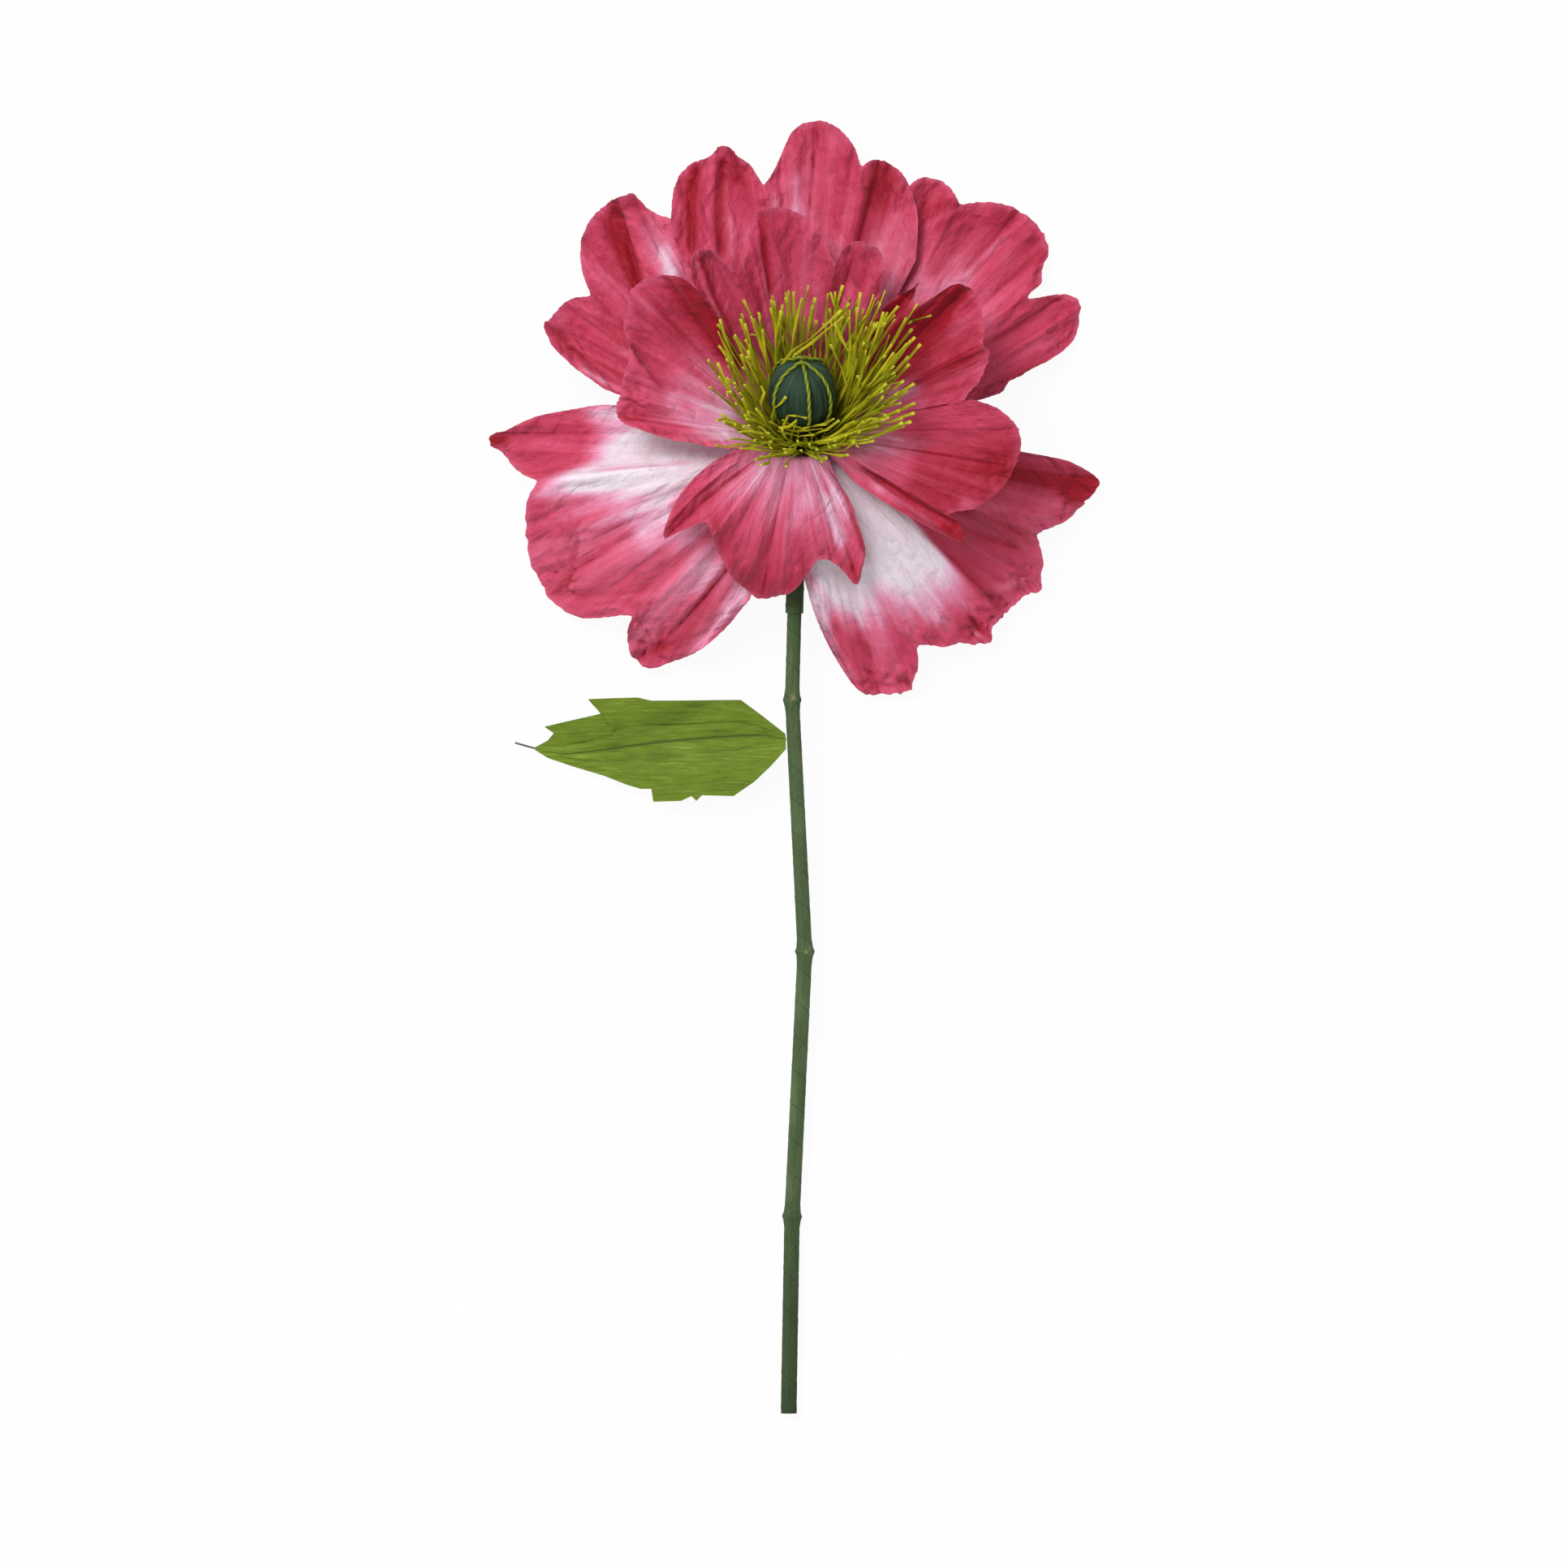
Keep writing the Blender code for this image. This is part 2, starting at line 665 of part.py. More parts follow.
def draw_string(bm, face, route):
    """Draws a face out along a route, as a square string."""
    middle = face.calc_center_median()
    previous = middle
    for level, centre in enumerate(route):
        onward = (route[min(level + 1, len(route) - 1)] - previous).normalized()
        outward = (middle - HEAD_BASE) - HEAD_AXIS * (middle - HEAD_BASE).dot(HEAD_AXIS)
        across = HEAD_AXIS.cross(outward).normalized()
        upward = onward.cross(across).normalized()
        across = upward.cross(onward).normalized()
        if level == 0:
            sides = []
            for vert in face.verts:
                off = vert.co - middle
                turned = 1 if off.dot(across) > 0 else -1
                lifted = 1 if off.dot(outward) > 0 else -1
                sides.append((turned, lifted))
        made = bmesh.ops.extrude_discrete_faces(bm, faces=[face])["faces"][0]
        half = STRING_WIDTH / 2
        for vert, (turned, lifted) in zip(made.verts, sides):
            vert.co = centre + across * (turned * half) - upward * (lifted * half)
        face = made
        previous = centre


# Petals


def brim_distance(whorl, bearing):
    """The plan distance from the head's base to the whorl's brim, which is an ellipse in plan."""
    radius, along = whorl.profile[-1]
    shift = along * math.cos(HEAD_TILT)
    flat = math.sin(HEAD_TILT)
    across = math.cos(math.radians(bearing))
    up = math.sin(math.radians(bearing))
    a = across * across + (up / flat) ** 2
    b = -2 * up * shift / flat**2
    c = (shift / flat) ** 2 - radius**2
    return (-b + math.sqrt(b * b - 4 * a * c)) / (2 * a)


def sheet_height(whorl, bearing, distance):
    """The height of a whorl's sheet at a plan bearing and distance from the head's base."""
    start = brim_distance(whorl, bearing)
    along = whorl.profile[-1][1]
    north = start * math.sin(math.radians(bearing)) - along * math.cos(HEAD_TILT)
    brim = HEAD_BASE.z + along * math.sin(HEAD_TILT) - north / math.tan(HEAD_TILT)
    tip = above_table(around(whorl.tip_height, bearing))
    share = min((distance - start) / (around(whorl.span, bearing) - start), 1.2)
    return blend(brim, tip, share) + around(whorl.arch, bearing) * 4 * share * (1 - share)


def rim_columns(petal):
    """Columns across a petal: (bearing, reach, crease), crease 1 at notches and -1 on lobes."""
    columns = []
    points = petal.outline
    for index, (low, high) in enumerate(zip(points, points[1:])):
        rising = index % 2 == 0
        for step in range(STEPS_PER_HALF_LOBE):
            share = step / STEPS_PER_HALF_LOBE
            climb = share if rising else 1 - share
            rounded = math.sin(climb * math.pi / 2) ** LOBE_FULLNESS
            shape = blend(climb, rounded, petal.roundness)
            low_reach, high_reach = (low[1], high[1]) if rising else (high[1], low[1])
            columns.append(
                (blend(low[0], high[0], share), blend(low_reach, high_reach, shape), 1 - 2 * climb)
            )
    columns.append((*points[-1], 1))
    return columns


def petal_point(petal, whorl, column, share_across, row):
    """A point of a petal: rows run up the claw to the brim, then out to the rim."""
    azimuth = blend(*petal.claw, share_across)
    claw_rows = len(whorl.profile) - 1
    if row <= claw_rows:
        return head_point(azimuth, *whorl.profile[row])
    bearing, reach, crease = column
    brim = head_point(azimuth, *whorl.profile[-1])
    turn = math.radians(bearing)
    tip = HEAD_BASE + Vector((math.cos(turn), math.sin(turn), 0)) * reach
    share = (row - claw_rows) / whorl.rows_beyond_brim
    at = brim.lerp(tip, share)
    off = at - HEAD_BASE
    distance = math.hypot(off.x, off.y)
    here = math.degrees(math.atan2(off.y, off.x))
    past_brim = share * (tip - brim).length
    at.z = sheet_height(whorl, here, distance)
    at.z += petal.lift * ease(past_brim / LIFT_LENGTH)
    at.z += whorl.fold * crease * ease(past_brim / LIFT_LENGTH)
    return at


def build_petal(name, petal, parts):
    whorl = WHORLS[petal.whorl]
    columns = rim_columns(petal)
    last_column = len(columns) - 1
    last_row = len(whorl.profile) - 1 + whorl.rows_beyond_brim
    bm = bmesh.new()
    bmesh.ops.create_grid(bm, x_segments=last_column, y_segments=last_row, size=1)
    for vert in bm.verts:
        index = round((vert.co.x + 1) / 2 * last_column)
        row = round((vert.co.y + 1) / 2 * last_row)
        vert.co = petal_point(petal, whorl, columns[index], index / last_column, row)
    mesh = mesh_from(bm, name)
    smooth(mesh, 60)
    thicken(place(name, mesh, "petal", parts), PAPER, 0)


def binding_outer_radius():
    claw = WHORLS["outer"].profile[1][0] + PAPER / 2
    return claw + SEAT_GAP + 2 * BINDING_WIRE_RADIUS


def build_binding_wire(parts):
    """Two turns of wire round the outer claws."""
    radius = binding_outer_radius() - BINDING_WIRE_RADIUS
    pitch = 2 * BINDING_WIRE_RADIUS + SEAT_GAP
    low = WHORLS["outer"].profile[0][1] + BINDING_INSET
    route = []
    for step in range(BINDING_TURNS * BINDING_POINTS):
        share = step / BINDING_POINTS
        route.append(head_point(360 * share, radius, low + pitch * share))
    mesh = swept_mesh("binding_wire", route, [BINDING_WIRE_RADIUS] * len(route), THIN_WIRE_SIDES)
    place("binding_wire", mesh, "wire", parts)


# Leaf


def leaf_root():
    """Where the midrib meets the taped stem."""
    out = stem_radius(LEAF_ALONG) + SEAT_GAP
    return stem_axis(LEAF_ALONG) - Vector((out, 0, 0))


def leaf_point(out, up, side):
    """A point of the blade, which droops to the table and lies in a shallow valley."""
    root = leaf_root()
    share = min(out / LEAF_STATIONS[-1][0][0], 1.0)
    droop = blend(root.z, above_table(LEAF_TIP_HEIGHT), 1 - (1 - share) ** LEAF_DROOP)
    ripple = LEAF_RIPPLE * math.sin(out / LEAF_RIPPLE_LENGTH) * min(side, 1)
    height = droop + LEAF_VALLEY * min(side, 1) ** LEAF_CUP + ripple
    return Vector((root.x - out * MM, root.y + up * MM, height))


def build_leaf(parts):
    last = len(LEAF_STATIONS) - 1
    rows = 2 * LEAF_ROWS_PER_SIDE
    bm = bmesh.new()
    bmesh.ops.create_grid(bm, x_segments=last, y_segments=rows, size=1)
    for vert in bm.verts:
        midrib, upper, lower = LEAF_STATIONS[round((vert.co.x + 1) / 2 * last)]
        edge = upper if vert.co.y > 0 else lower
        share = abs(vert.co.y)
        out = blend(midrib[0], edge[0], share)
        up = blend(midrib[1], edge[1], share)
        vert.co = leaf_point(out, up, abs(up - midrib[1]) * MM / LEAF_HALF_WIDTH)
    mesh = mesh_from(bm, "leaf_blade")
    smooth(mesh, 60)
    thicken(place("leaf_blade", mesh, "leaf", parts), PAPER, 0)

    below = Vector((0, 0, PAPER / 2 + 1.5 * SEAT_GAP + LEAF_WIRE_RADIUS))
    route = [leaf_point(*midrib, 0) - below for midrib, _, _ in LEAF_STATIONS[::2]]
    end = leaf_point(*LEAF_WIRE_TIP, 0) - below
    route.append(end)
    mesh = swept_mesh("leaf_wire", route, [LEAF_WIRE_RADIUS] * len(route), THIN_WIRE_SIDES)
    place("leaf_wire", mesh, "wire", parts)


def main():
    clear_scene()
    parts = new_collection(NAME)
    cutters = new_collection("cutters")
    build_stem(parts, cutters)
    build_pod(parts, cutters)
    for name, fringe in FRINGES.items():
        build_fringe(name, fringe, parts)
    for name, petal in PETALS.items():
        build_petal(name, petal, parts)
    build_binding_wire(parts)
    build_leaf(parts)


main()
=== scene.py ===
"""Looks for the paper poppy: dip-dyed petals, cut-string stamens, corded pod, taped stem and leaf.

The flower lies face up on a pale floor. Metres, +Z up, +Y up the stem. Plan bearings are degrees
counter-clockwise from +X about the head's base, seen from above. Head azimuths are degrees round
the flower's own axis, with 90 on the far side and 270 on the near side, which looks up.
"""

import logging
import math
from collections.abc import Callable, Iterator, Sequence
from dataclasses import dataclass
from enum import Enum

import bpy
import numpy as np
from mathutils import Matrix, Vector, noise

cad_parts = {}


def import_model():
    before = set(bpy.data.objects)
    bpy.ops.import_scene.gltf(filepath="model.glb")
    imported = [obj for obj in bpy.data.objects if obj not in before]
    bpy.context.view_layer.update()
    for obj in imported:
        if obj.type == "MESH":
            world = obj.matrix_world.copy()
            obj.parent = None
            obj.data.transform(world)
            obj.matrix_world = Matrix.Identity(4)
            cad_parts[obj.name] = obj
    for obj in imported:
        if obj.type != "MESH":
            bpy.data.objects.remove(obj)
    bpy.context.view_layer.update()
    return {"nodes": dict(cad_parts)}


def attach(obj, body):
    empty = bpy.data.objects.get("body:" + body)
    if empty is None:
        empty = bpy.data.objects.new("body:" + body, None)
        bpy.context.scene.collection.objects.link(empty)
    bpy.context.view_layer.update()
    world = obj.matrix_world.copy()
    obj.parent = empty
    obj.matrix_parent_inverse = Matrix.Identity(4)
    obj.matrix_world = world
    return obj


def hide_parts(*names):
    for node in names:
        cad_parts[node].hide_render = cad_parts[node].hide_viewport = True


LOG = logging.getLogger("paper_poppy")

MM = 0.001
TABLE = -4.95 * MM
BODY = "root"
WELD_GAP = 2e-6
TAPE_TURN = 21 * MM
PAPER_GLOSS = 0.25

HEAD_BASE = np.array((8.0, 600.0, 43.0)) * MM
HEAD_TILT = math.radians(36.87)
HEAD_AXIS = np.array((0.0, math.cos(HEAD_TILT), math.sin(HEAD_TILT)))
HEAD_FAR = np.array((0.0, math.sin(HEAD_TILT), -math.cos(HEAD_TILT)))
HEAD_SIDE = np.array((1.0, 0.0, 0.0))
UPWARD = np.array((0.0, 0.0, 1.0))

Triple = Colour = tuple[float, float, float]
Rows = tuple[tuple[float, ...], ...]
Numbers = np.ndarray | float
Shape = Callable[[np.ndarray], np.ndarray]
Plug = "Value | bpy.types.NodeSocket | float | tuple[float, ...]"
Options = dict[str, object] | None
Plugs = dict[int | str, Plug] | None


def srgb(red: int, green: int, blue: int) -> Colour:
    """The linear colour of 8-bit screen values."""

    def channel(value: int) -> float:
        """One screen value made linear."""
        share = value / 255
        return share / 12.92 if share <= 0.04045 else ((share + 0.055) / 1.055) ** 2.4

    return channel(red), channel(green), channel(blue)


def compass(degrees: Numbers) -> tuple[Numbers, Numbers]:
    """The cosine and the sine of an angle in degrees."""
    turn = np.radians(degrees)
    return np.cos(turn), np.sin(turn)


def unit(vectors: np.ndarray) -> np.ndarray:
    """Vectors at length 1."""
    return vectors / np.linalg.norm(vectors, axis=-1, keepdims=True)


def looked_up(rows: Rows, places: Numbers, column: int) -> Numbers:
    """A column of a table at places in its first column."""
    table = np.array(rows, float)
    return np.interp(places, table[:, 0], table[:, column])


def ease(share: np.ndarray) -> np.ndarray:
    """Goes smoothly from 0 to 1 as share does."""
    share = np.clip(share, 0.0, 1.0)
    return share * share * (3 - 2 * share)


def bell(offset: np.ndarray) -> np.ndarray:
    """A bell curve, 1 at no offset."""
    return np.exp(-offset * offset)


def smoothed(values: np.ndarray, passes: int, axis: int = 0) -> np.ndarray:
    """Rounds off corners along one axis and keeps both ends.

    Args:
        values: The samples.
        passes: How many times each sample is averaged with its neighbours.
        axis: The axis along which it smooths.

    Returns:
        The smoothed samples.
    """
    values = np.moveaxis(values.copy(), axis, 0)
    for _ in range(passes):
        values[1:-1] = (values[:-2] + 2 * values[1:-1] + values[2:]) / 4
    return np.moveaxis(values, 0, axis)


def waves(across: np.ndarray, along: np.ndarray, pitch: tuple[float, float], seed: int) -> np.ndarray:
    """A smooth uneven surface from -1 to 1.

    Args:
        across: Place across the sheet.
        along: Place along the sheet.
        pitch: The usual distance between crests across and along.
        seed: Which surface it is.

    Returns:
        The height at each place.
    """
    draw = np.random.default_rng(seed)
    total = 0.0
    for octave in range(5):
        turn = math.tau * 1.5 ** (octave / 2)
        one, two = draw.uniform(0.5, 1.1, 2) * draw.choice((-1, 1), 2)
        phase = draw.uniform(0, math.tau)
        total = total + np.sin(turn * (one * across / pitch[0] + two * along / pitch[1]) + phase)
    return total / 3


def crumple(across: np.ndarray, along: np.ndarray, pitch: float, seed: int) -> np.ndarray:
    """A crumpled surface, whose soft facets meet in sharp wandering valleys, from about -1 to 1.

    Args:
        across: Place across the sheet.
        along: Place along the sheet.
        pitch: The usual size of a facet across the sheet.
        seed: Which crumple it is.

    Returns:
        The height at each place.
    """
    places = np.stack([across / pitch, along / (1.8 * pitch), np.full(across.shape, seed * 3.7)], axis=-1)
    heights = [noise.turbulence(Vector(place), 3, True) for place in places.reshape(-1, 3)]
    return 2.3 * np.array(heights).reshape(across.shape) - 1


def cusp(offset: np.ndarray) -> np.ndarray:
    """A sharp ridge, 1 at no offset."""
    return np.exp(-np.abs(offset))


def cliff(offset: np.ndarray) -> np.ndarray:
    """A sharp step from -1 to 1 at no offset, which fades on both sides."""
    return np.tanh(4 * offset) * np.exp(-np.abs(offset))


def head_points(azimuth: Numbers, radius: Numbers, along: Numbers) -> np.ndarray:
    """Points of the flower's head.

    Args:
        azimuth: Degrees round the head's axis.
        radius: Distance from the axis, in metres.
        along: Distance along the axis, in metres.

    Returns:
        One point a row.
    """
    side, far = compass(azimuth)
    out = side[..., None] * HEAD_SIDE + far[..., None] * HEAD_FAR
    return HEAD_BASE + np.asarray(along)[..., None] * HEAD_AXIS + np.asarray(radius)[..., None] * out


@dataclass(frozen=True)
class Sides:
    """A size that differs on the four sides of the head, in millimetres or degrees."""

    right: float
    far: float
    left: float
    near: float

    def at(self, bearing: np.ndarray) -> np.ndarray:
        """The size at bearings in degrees."""
        across, along = compass(bearing)
        sideways = np.where(across > 0, self.right, self.left)
        lengthways = np.where(along > 0, self.far, self.near)
        return sideways * across**2 + lengthways * along**2


# Modelling


def choose(*pieces: bpy.types.Object) -> None:
    """Leaves only these pieces selected, the first of them active."""
    if bpy.context.object and bpy.context.object.mode != "OBJECT":
        bpy.ops.object.mode_set(mode="OBJECT")
    bpy.ops.object.select_all(action="DESELECT")
    for piece in pieces:
        piece.select_set(True)
    if pieces:
        bpy.context.view_layer.objects.active = pieces[0]


def grid_piece(name: str, points: np.ndarray, **layers: np.ndarray) -> bpy.types.Object:
    """Adds a grid and lays it over a surface.

    Args:
        name: The piece's name.
        points: The surface's points, indexed by place across and place along.
        layers: What its material reads at each point, indexed the same way.

    Returns:
        The new piece, with a UV map that runs across and along.
    """
    choose()
    across, along = points.shape[0] - 1, points.shape[1] - 1
    bpy.ops.mesh.primitive_grid_add(x_subdivisions=across, y_subdivisions=along, size=2, calc_uvs=True)
    made = bpy.context.object
    made.name = made.data.name = name
    corners = np.empty(len(made.data.loops), int)
    made.data.loops.foreach_get("vertex_index", corners)
    flat = np.empty(len(corners) * 2, np.float32)
    made.data.uv_layers[0].uv.foreach_get("vector", flat)
    uv = np.zeros((len(made.data.vertices), 2))
    uv[corners] = flat.reshape(-1, 2)
    column, row = np.rint(uv * (across, along)).astype(int).T
    made.data.vertices.foreach_set("co", points[column, row].astype(np.float32).ravel())
    made.data.update()
    for key, values in layers.items():
        add_attribute(made, key, values[column, row])
    return made


def add_attribute(made: bpy.types.Object, name: str, values: np.ndarray) -> None:
    """Stores a number or a vector at each vertex."""
    kind, key = ("FLOAT", "value") if values.ndim == 1 else ("FLOAT_VECTOR", "vector")
    made.data.attributes.new(name, kind, "POINT")
    made.data.attributes[name].data.foreach_set(key, values.astype(np.float32).ravel())


def weld(made: bpy.types.Object) -> None:
    """Merges the points that meet and turns the faces outwards."""
    choose(made)
    bpy.ops.object.mode_set(mode="EDIT")
    bpy.ops.mesh.select_all(action="SELECT")
    bpy.ops.mesh.remove_doubles(threshold=WELD_GAP)
    bpy.ops.mesh.normals_make_consistent(inside=False)
    bpy.ops.object.mode_set(mode="OBJECT")


def thicken(made: bpy.types.Object, thickness: float, offset: float) -> None:
    """Gives an open sheet its thickness."""
    choose(made)
    wall = made.modifiers.new("wall", "SOLIDIFY")
    wall.thickness = thickness
    wall.offset = offset
    bpy.ops.object.modifier_apply(modifier=wall.name)


def shade(made: bpy.types.Object, angle: float = 60) -> None:
    """Shades a piece smooth, with sharp edges over this many degrees."""
    choose(made)
    bpy.ops.object.shade_smooth_by_angle(angle=math.radians(angle))


def tube_points(route: np.ndarray, radii: np.ndarray, start_up: np.ndarray) -> np.ndarray:
    """The points of a closed tube.

    Args:
        route: The points along its middle.
        radii: Its radius at each angle round it and each point of the route.
        start_up: The direction of angle 0, roughly.

    Returns:
        Points by angle and place along, with both ends drawn in to the middle.
    """
    ahead = unit(np.gradient(route, axis=0))
    ups = np.empty_like(route)
    up = start_up
    for index, onward in enumerate(ahead):
        up = unit(up - onward * up.dot(onward))
        ups[index] = up
    sides = np.cross(ahead, ups)
    turn = np.linspace(0, math.tau, radii.shape[0])[:, None, None]
    ring = np.cos(turn) * ups[None] + np.sin(turn) * sides[None]
    points = route[None] + ring * radii[:, :, None]
    first, last = (np.broadcast_to(route[end], (radii.shape[0], 1, 3)) for end in (0, -1))
    points = np.concatenate([first, points, last], axis=1)
    points[-1] = points[0]
    return points


def spaced(route: np.ndarray, count: int, weights: Sequence[float] = (1.0,)) -> tuple[np.ndarray, np.ndarray]:
    """Points evenly spaced along a route, with the distance to each.

    Args:
        route: The points of the route, one a row.
        count: How many points to give back.
        weights: How much each part of a point counts in a distance.

    Returns:
        The points and how far along the route each one lies.
    """
    gone = np.concatenate([[0], np.cumsum(np.linalg.norm(np.diff(route * weights, axis=0), axis=1))])
    even = np.linspace(0, gone[-1], count)
    return np.stack([np.interp(even, gone, part) for part in route.T], axis=1), even


def resampled(route: np.ndarray, count: int, passes: int = 0) -> np.ndarray:
    """The route with this many points, evenly spaced, its corners rounded by smoothing passes."""
    return smoothed(spaced(route, count)[0], passes)


# Materials


def math_operator(operation: str, reflected: bool = False) -> Callable[["Value", Plug], "Value"]:
    """A Python operator that adds a Math node, its number first when it is reflected."""

    def method(self: "Value", other: Plug) -> "Value":
        """The node's result."""
        first, second = (other, self) if reflected else (self, other)
        return self.math(operation, first, second)

    return method


class Value:
    """A number in a material. Python's operators on it add Math nodes."""

    def __init__(self, graph: "Graph", socket: bpy.types.NodeSocket) -> None:
        """Wraps an output socket."""
        self.graph = graph
        self.socket = socket

    def math(self, operation: str, first: Plug, second: Plug = 0.0, clamp: bool = False) -> "Value":
        """A Math node on two numbers."""
        settings = {"operation": operation, "use_clamp": clamp}
        return self.graph.value("ShaderNodeMath", settings, {0: first, 1: second})

    __add__ = math_operator("ADD")
    __radd__ = math_operator("ADD", reflected=True)
    __sub__ = math_operator("SUBTRACT")
    __rsub__ = math_operator("SUBTRACT", reflected=True)
    __mul__ = math_operator("MULTIPLY")
    __rmul__ = math_operator("MULTIPLY", reflected=True)
    __truediv__ = math_operator("DIVIDE")

    def fraction(self) -> "Value":
        """What is left over a whole number."""
        return self.math("FRACT", self)

    def size(self) -> "Value":
        """The number without its sign."""
        return self.math("ABSOLUTE", self)

    def clamped(self) -> "Value":
        """Held between 0 and 1."""
        return self.math("ADD", self, clamp=True)

    def between(self, low: float, high: float) -> "Value":
        """Goes smoothly from 0 at low to 1 at high."""
        settings = {"interpolation_type": "SMOOTHSTEP"}
        return self.graph.value("ShaderNodeMapRange", settings, {0: self, 1: low, 2: high})


class Graph:
    """The nodes of one material."""

    def __init__(self, name: str) -> None:
        """Makes a material of this name."""
        self.material = bpy.data.materials.new(name)
        self.material.use_nodes = True
        self.tree = self.material.node_tree
        self.shader = self.tree.nodes["Principled BSDF"]

    def feed(self, socket: bpy.types.NodeSocket, plug: Plug) -> None:
        """Links a socket or sets its number."""
        if isinstance(plug, Value):
            plug = plug.socket
        if isinstance(plug, bpy.types.NodeSocket):
            self.tree.links.new(plug, socket)
        elif isinstance(plug, tuple) and len(plug) == 3 and socket.type == "RGBA":
            socket.default_value = (*plug, 1.0)
        else:
            socket.default_value = plug

    def node(self, kind: str, settings: Options = None, sockets: Plugs = None) -> bpy.types.Node:
        """Adds a node.

        Args:
            kind: Its type.
            settings: Its options, set first.
            sockets: What goes into its sockets.

        Returns:
            The new node.
        """
        made = self.tree.nodes.new(kind)
        for name, value in (settings or {}).items():
            setattr(made, name, value)
        for key, plug in (sockets or {}).items():
            self.feed(made.inputs[key], plug)
        return made

    def ramp(self, share: Value, stops: Sequence[tuple[float, Colour]]) -> bpy.types.NodeSocket:
        """The colour at a share of the way through (place, colour) stops."""
        made = self.node("ShaderNodeValToRGB", {}, {0: share})
        elements = made.color_ramp.elements
        while len(elements) < len(stops):
            elements.new(1.0)
        for element, (place, colour) in zip(elements, stops):
            element.position = place
            element.color = (*colour, 1.0)
        return made.outputs[0]

    def value(self, kind: str, settings: Options, sockets: Plugs, out: int = 0) -> Value:
        """Adds a node and gives one of its numbers."""
        return Value(self, self.node(kind, settings, sockets).outputs[out])

    def attribute(self, name: str) -> Value:
        """A number stored at the vertices."""
        return self.value("ShaderNodeAttribute", {"attribute_name": name}, {}, 2)

    def vector(self, name: str) -> bpy.types.NodeSocket:
        """A vector stored at the vertices."""
        return self.node("ShaderNodeAttribute", {"attribute_name": name}).outputs[1]

    def place(self) -> bpy.types.NodeSocket:
        """The place on the piece, in metres."""
        return self.node("ShaderNodeTexCoord").outputs["Object"]

    def parts(self, vector: bpy.types.NodeSocket) -> tuple[Value, ...]:
        """The three parts of a vector."""
        split = self.node("ShaderNodeSeparateXYZ", {}, {0: vector})
        return tuple(Value(self, part) for part in split.outputs)

    def stretched(self, vector: Plug, by: Plug) -> bpy.types.NodeSocket:
        """A vector times another."""
        return self.node("ShaderNodeVectorMath", {"operation": "MULTIPLY"}, {0: vector, 1: by}).outputs[0]

    def noise(self, vector: bpy.types.NodeSocket, by: Triple, detail: float) -> Value:
        """Uneven values round a half, at this many to the metre or radian."""
        sockets = {"Vector": self.stretched(vector, by), "Scale": 1.0, "Detail": detail, "Roughness": 0.55}
        return self.value("ShaderNodeTexNoise", {}, sockets)

    def mix(self, share: Plug, first: Plug, second: Plug) -> bpy.types.NodeSocket:
        """One colour blended into another."""
        settings = {"data_type": "RGBA", "clamp_factor": True}
        return self.node("ShaderNodeMix", settings, {0: share, 6: first, 7: second}).outputs[2]

    def toned(self, colour: Plug, tone: Value) -> bpy.types.NodeSocket:
        """A colour made darker or lighter by a number round 1."""
        grey = self.node("ShaderNodeCombineXYZ", {}, {0: tone, 1: tone, 2: tone})
        return self.stretched(colour, grey.outputs[0])

    def surface(self, colour: Plug, roughness: Plug, gloss: float) -> None:
        """Gives the shader its colour, its roughness and how much it shines."""
        for name, plug in {"Base Color": colour, "Roughness": roughness, "Specular IOR Level": gloss}.items():
            self.feed(self.shader.inputs[name], plug)

    def finish(self, colour: Plug, roughness: Plug, height: Value, depth: float) -> bpy.types.Material:
        """Feeds the shader.

        Args:
            colour: The base colour.
            roughness: The roughness.
            height: The relief, from 0 to 1.
            depth: How deep that relief is, in metres.

        Returns:
            The material.
        """
        self.surface(colour, roughness, PAPER_GLOSS)
        bump = self.node("ShaderNodeBump", {}, {"Strength": 1.0, "Distance": depth, "Height": height})
        self.feed(self.shader.inputs["Normal"], bump.outputs[0])
        return self.material


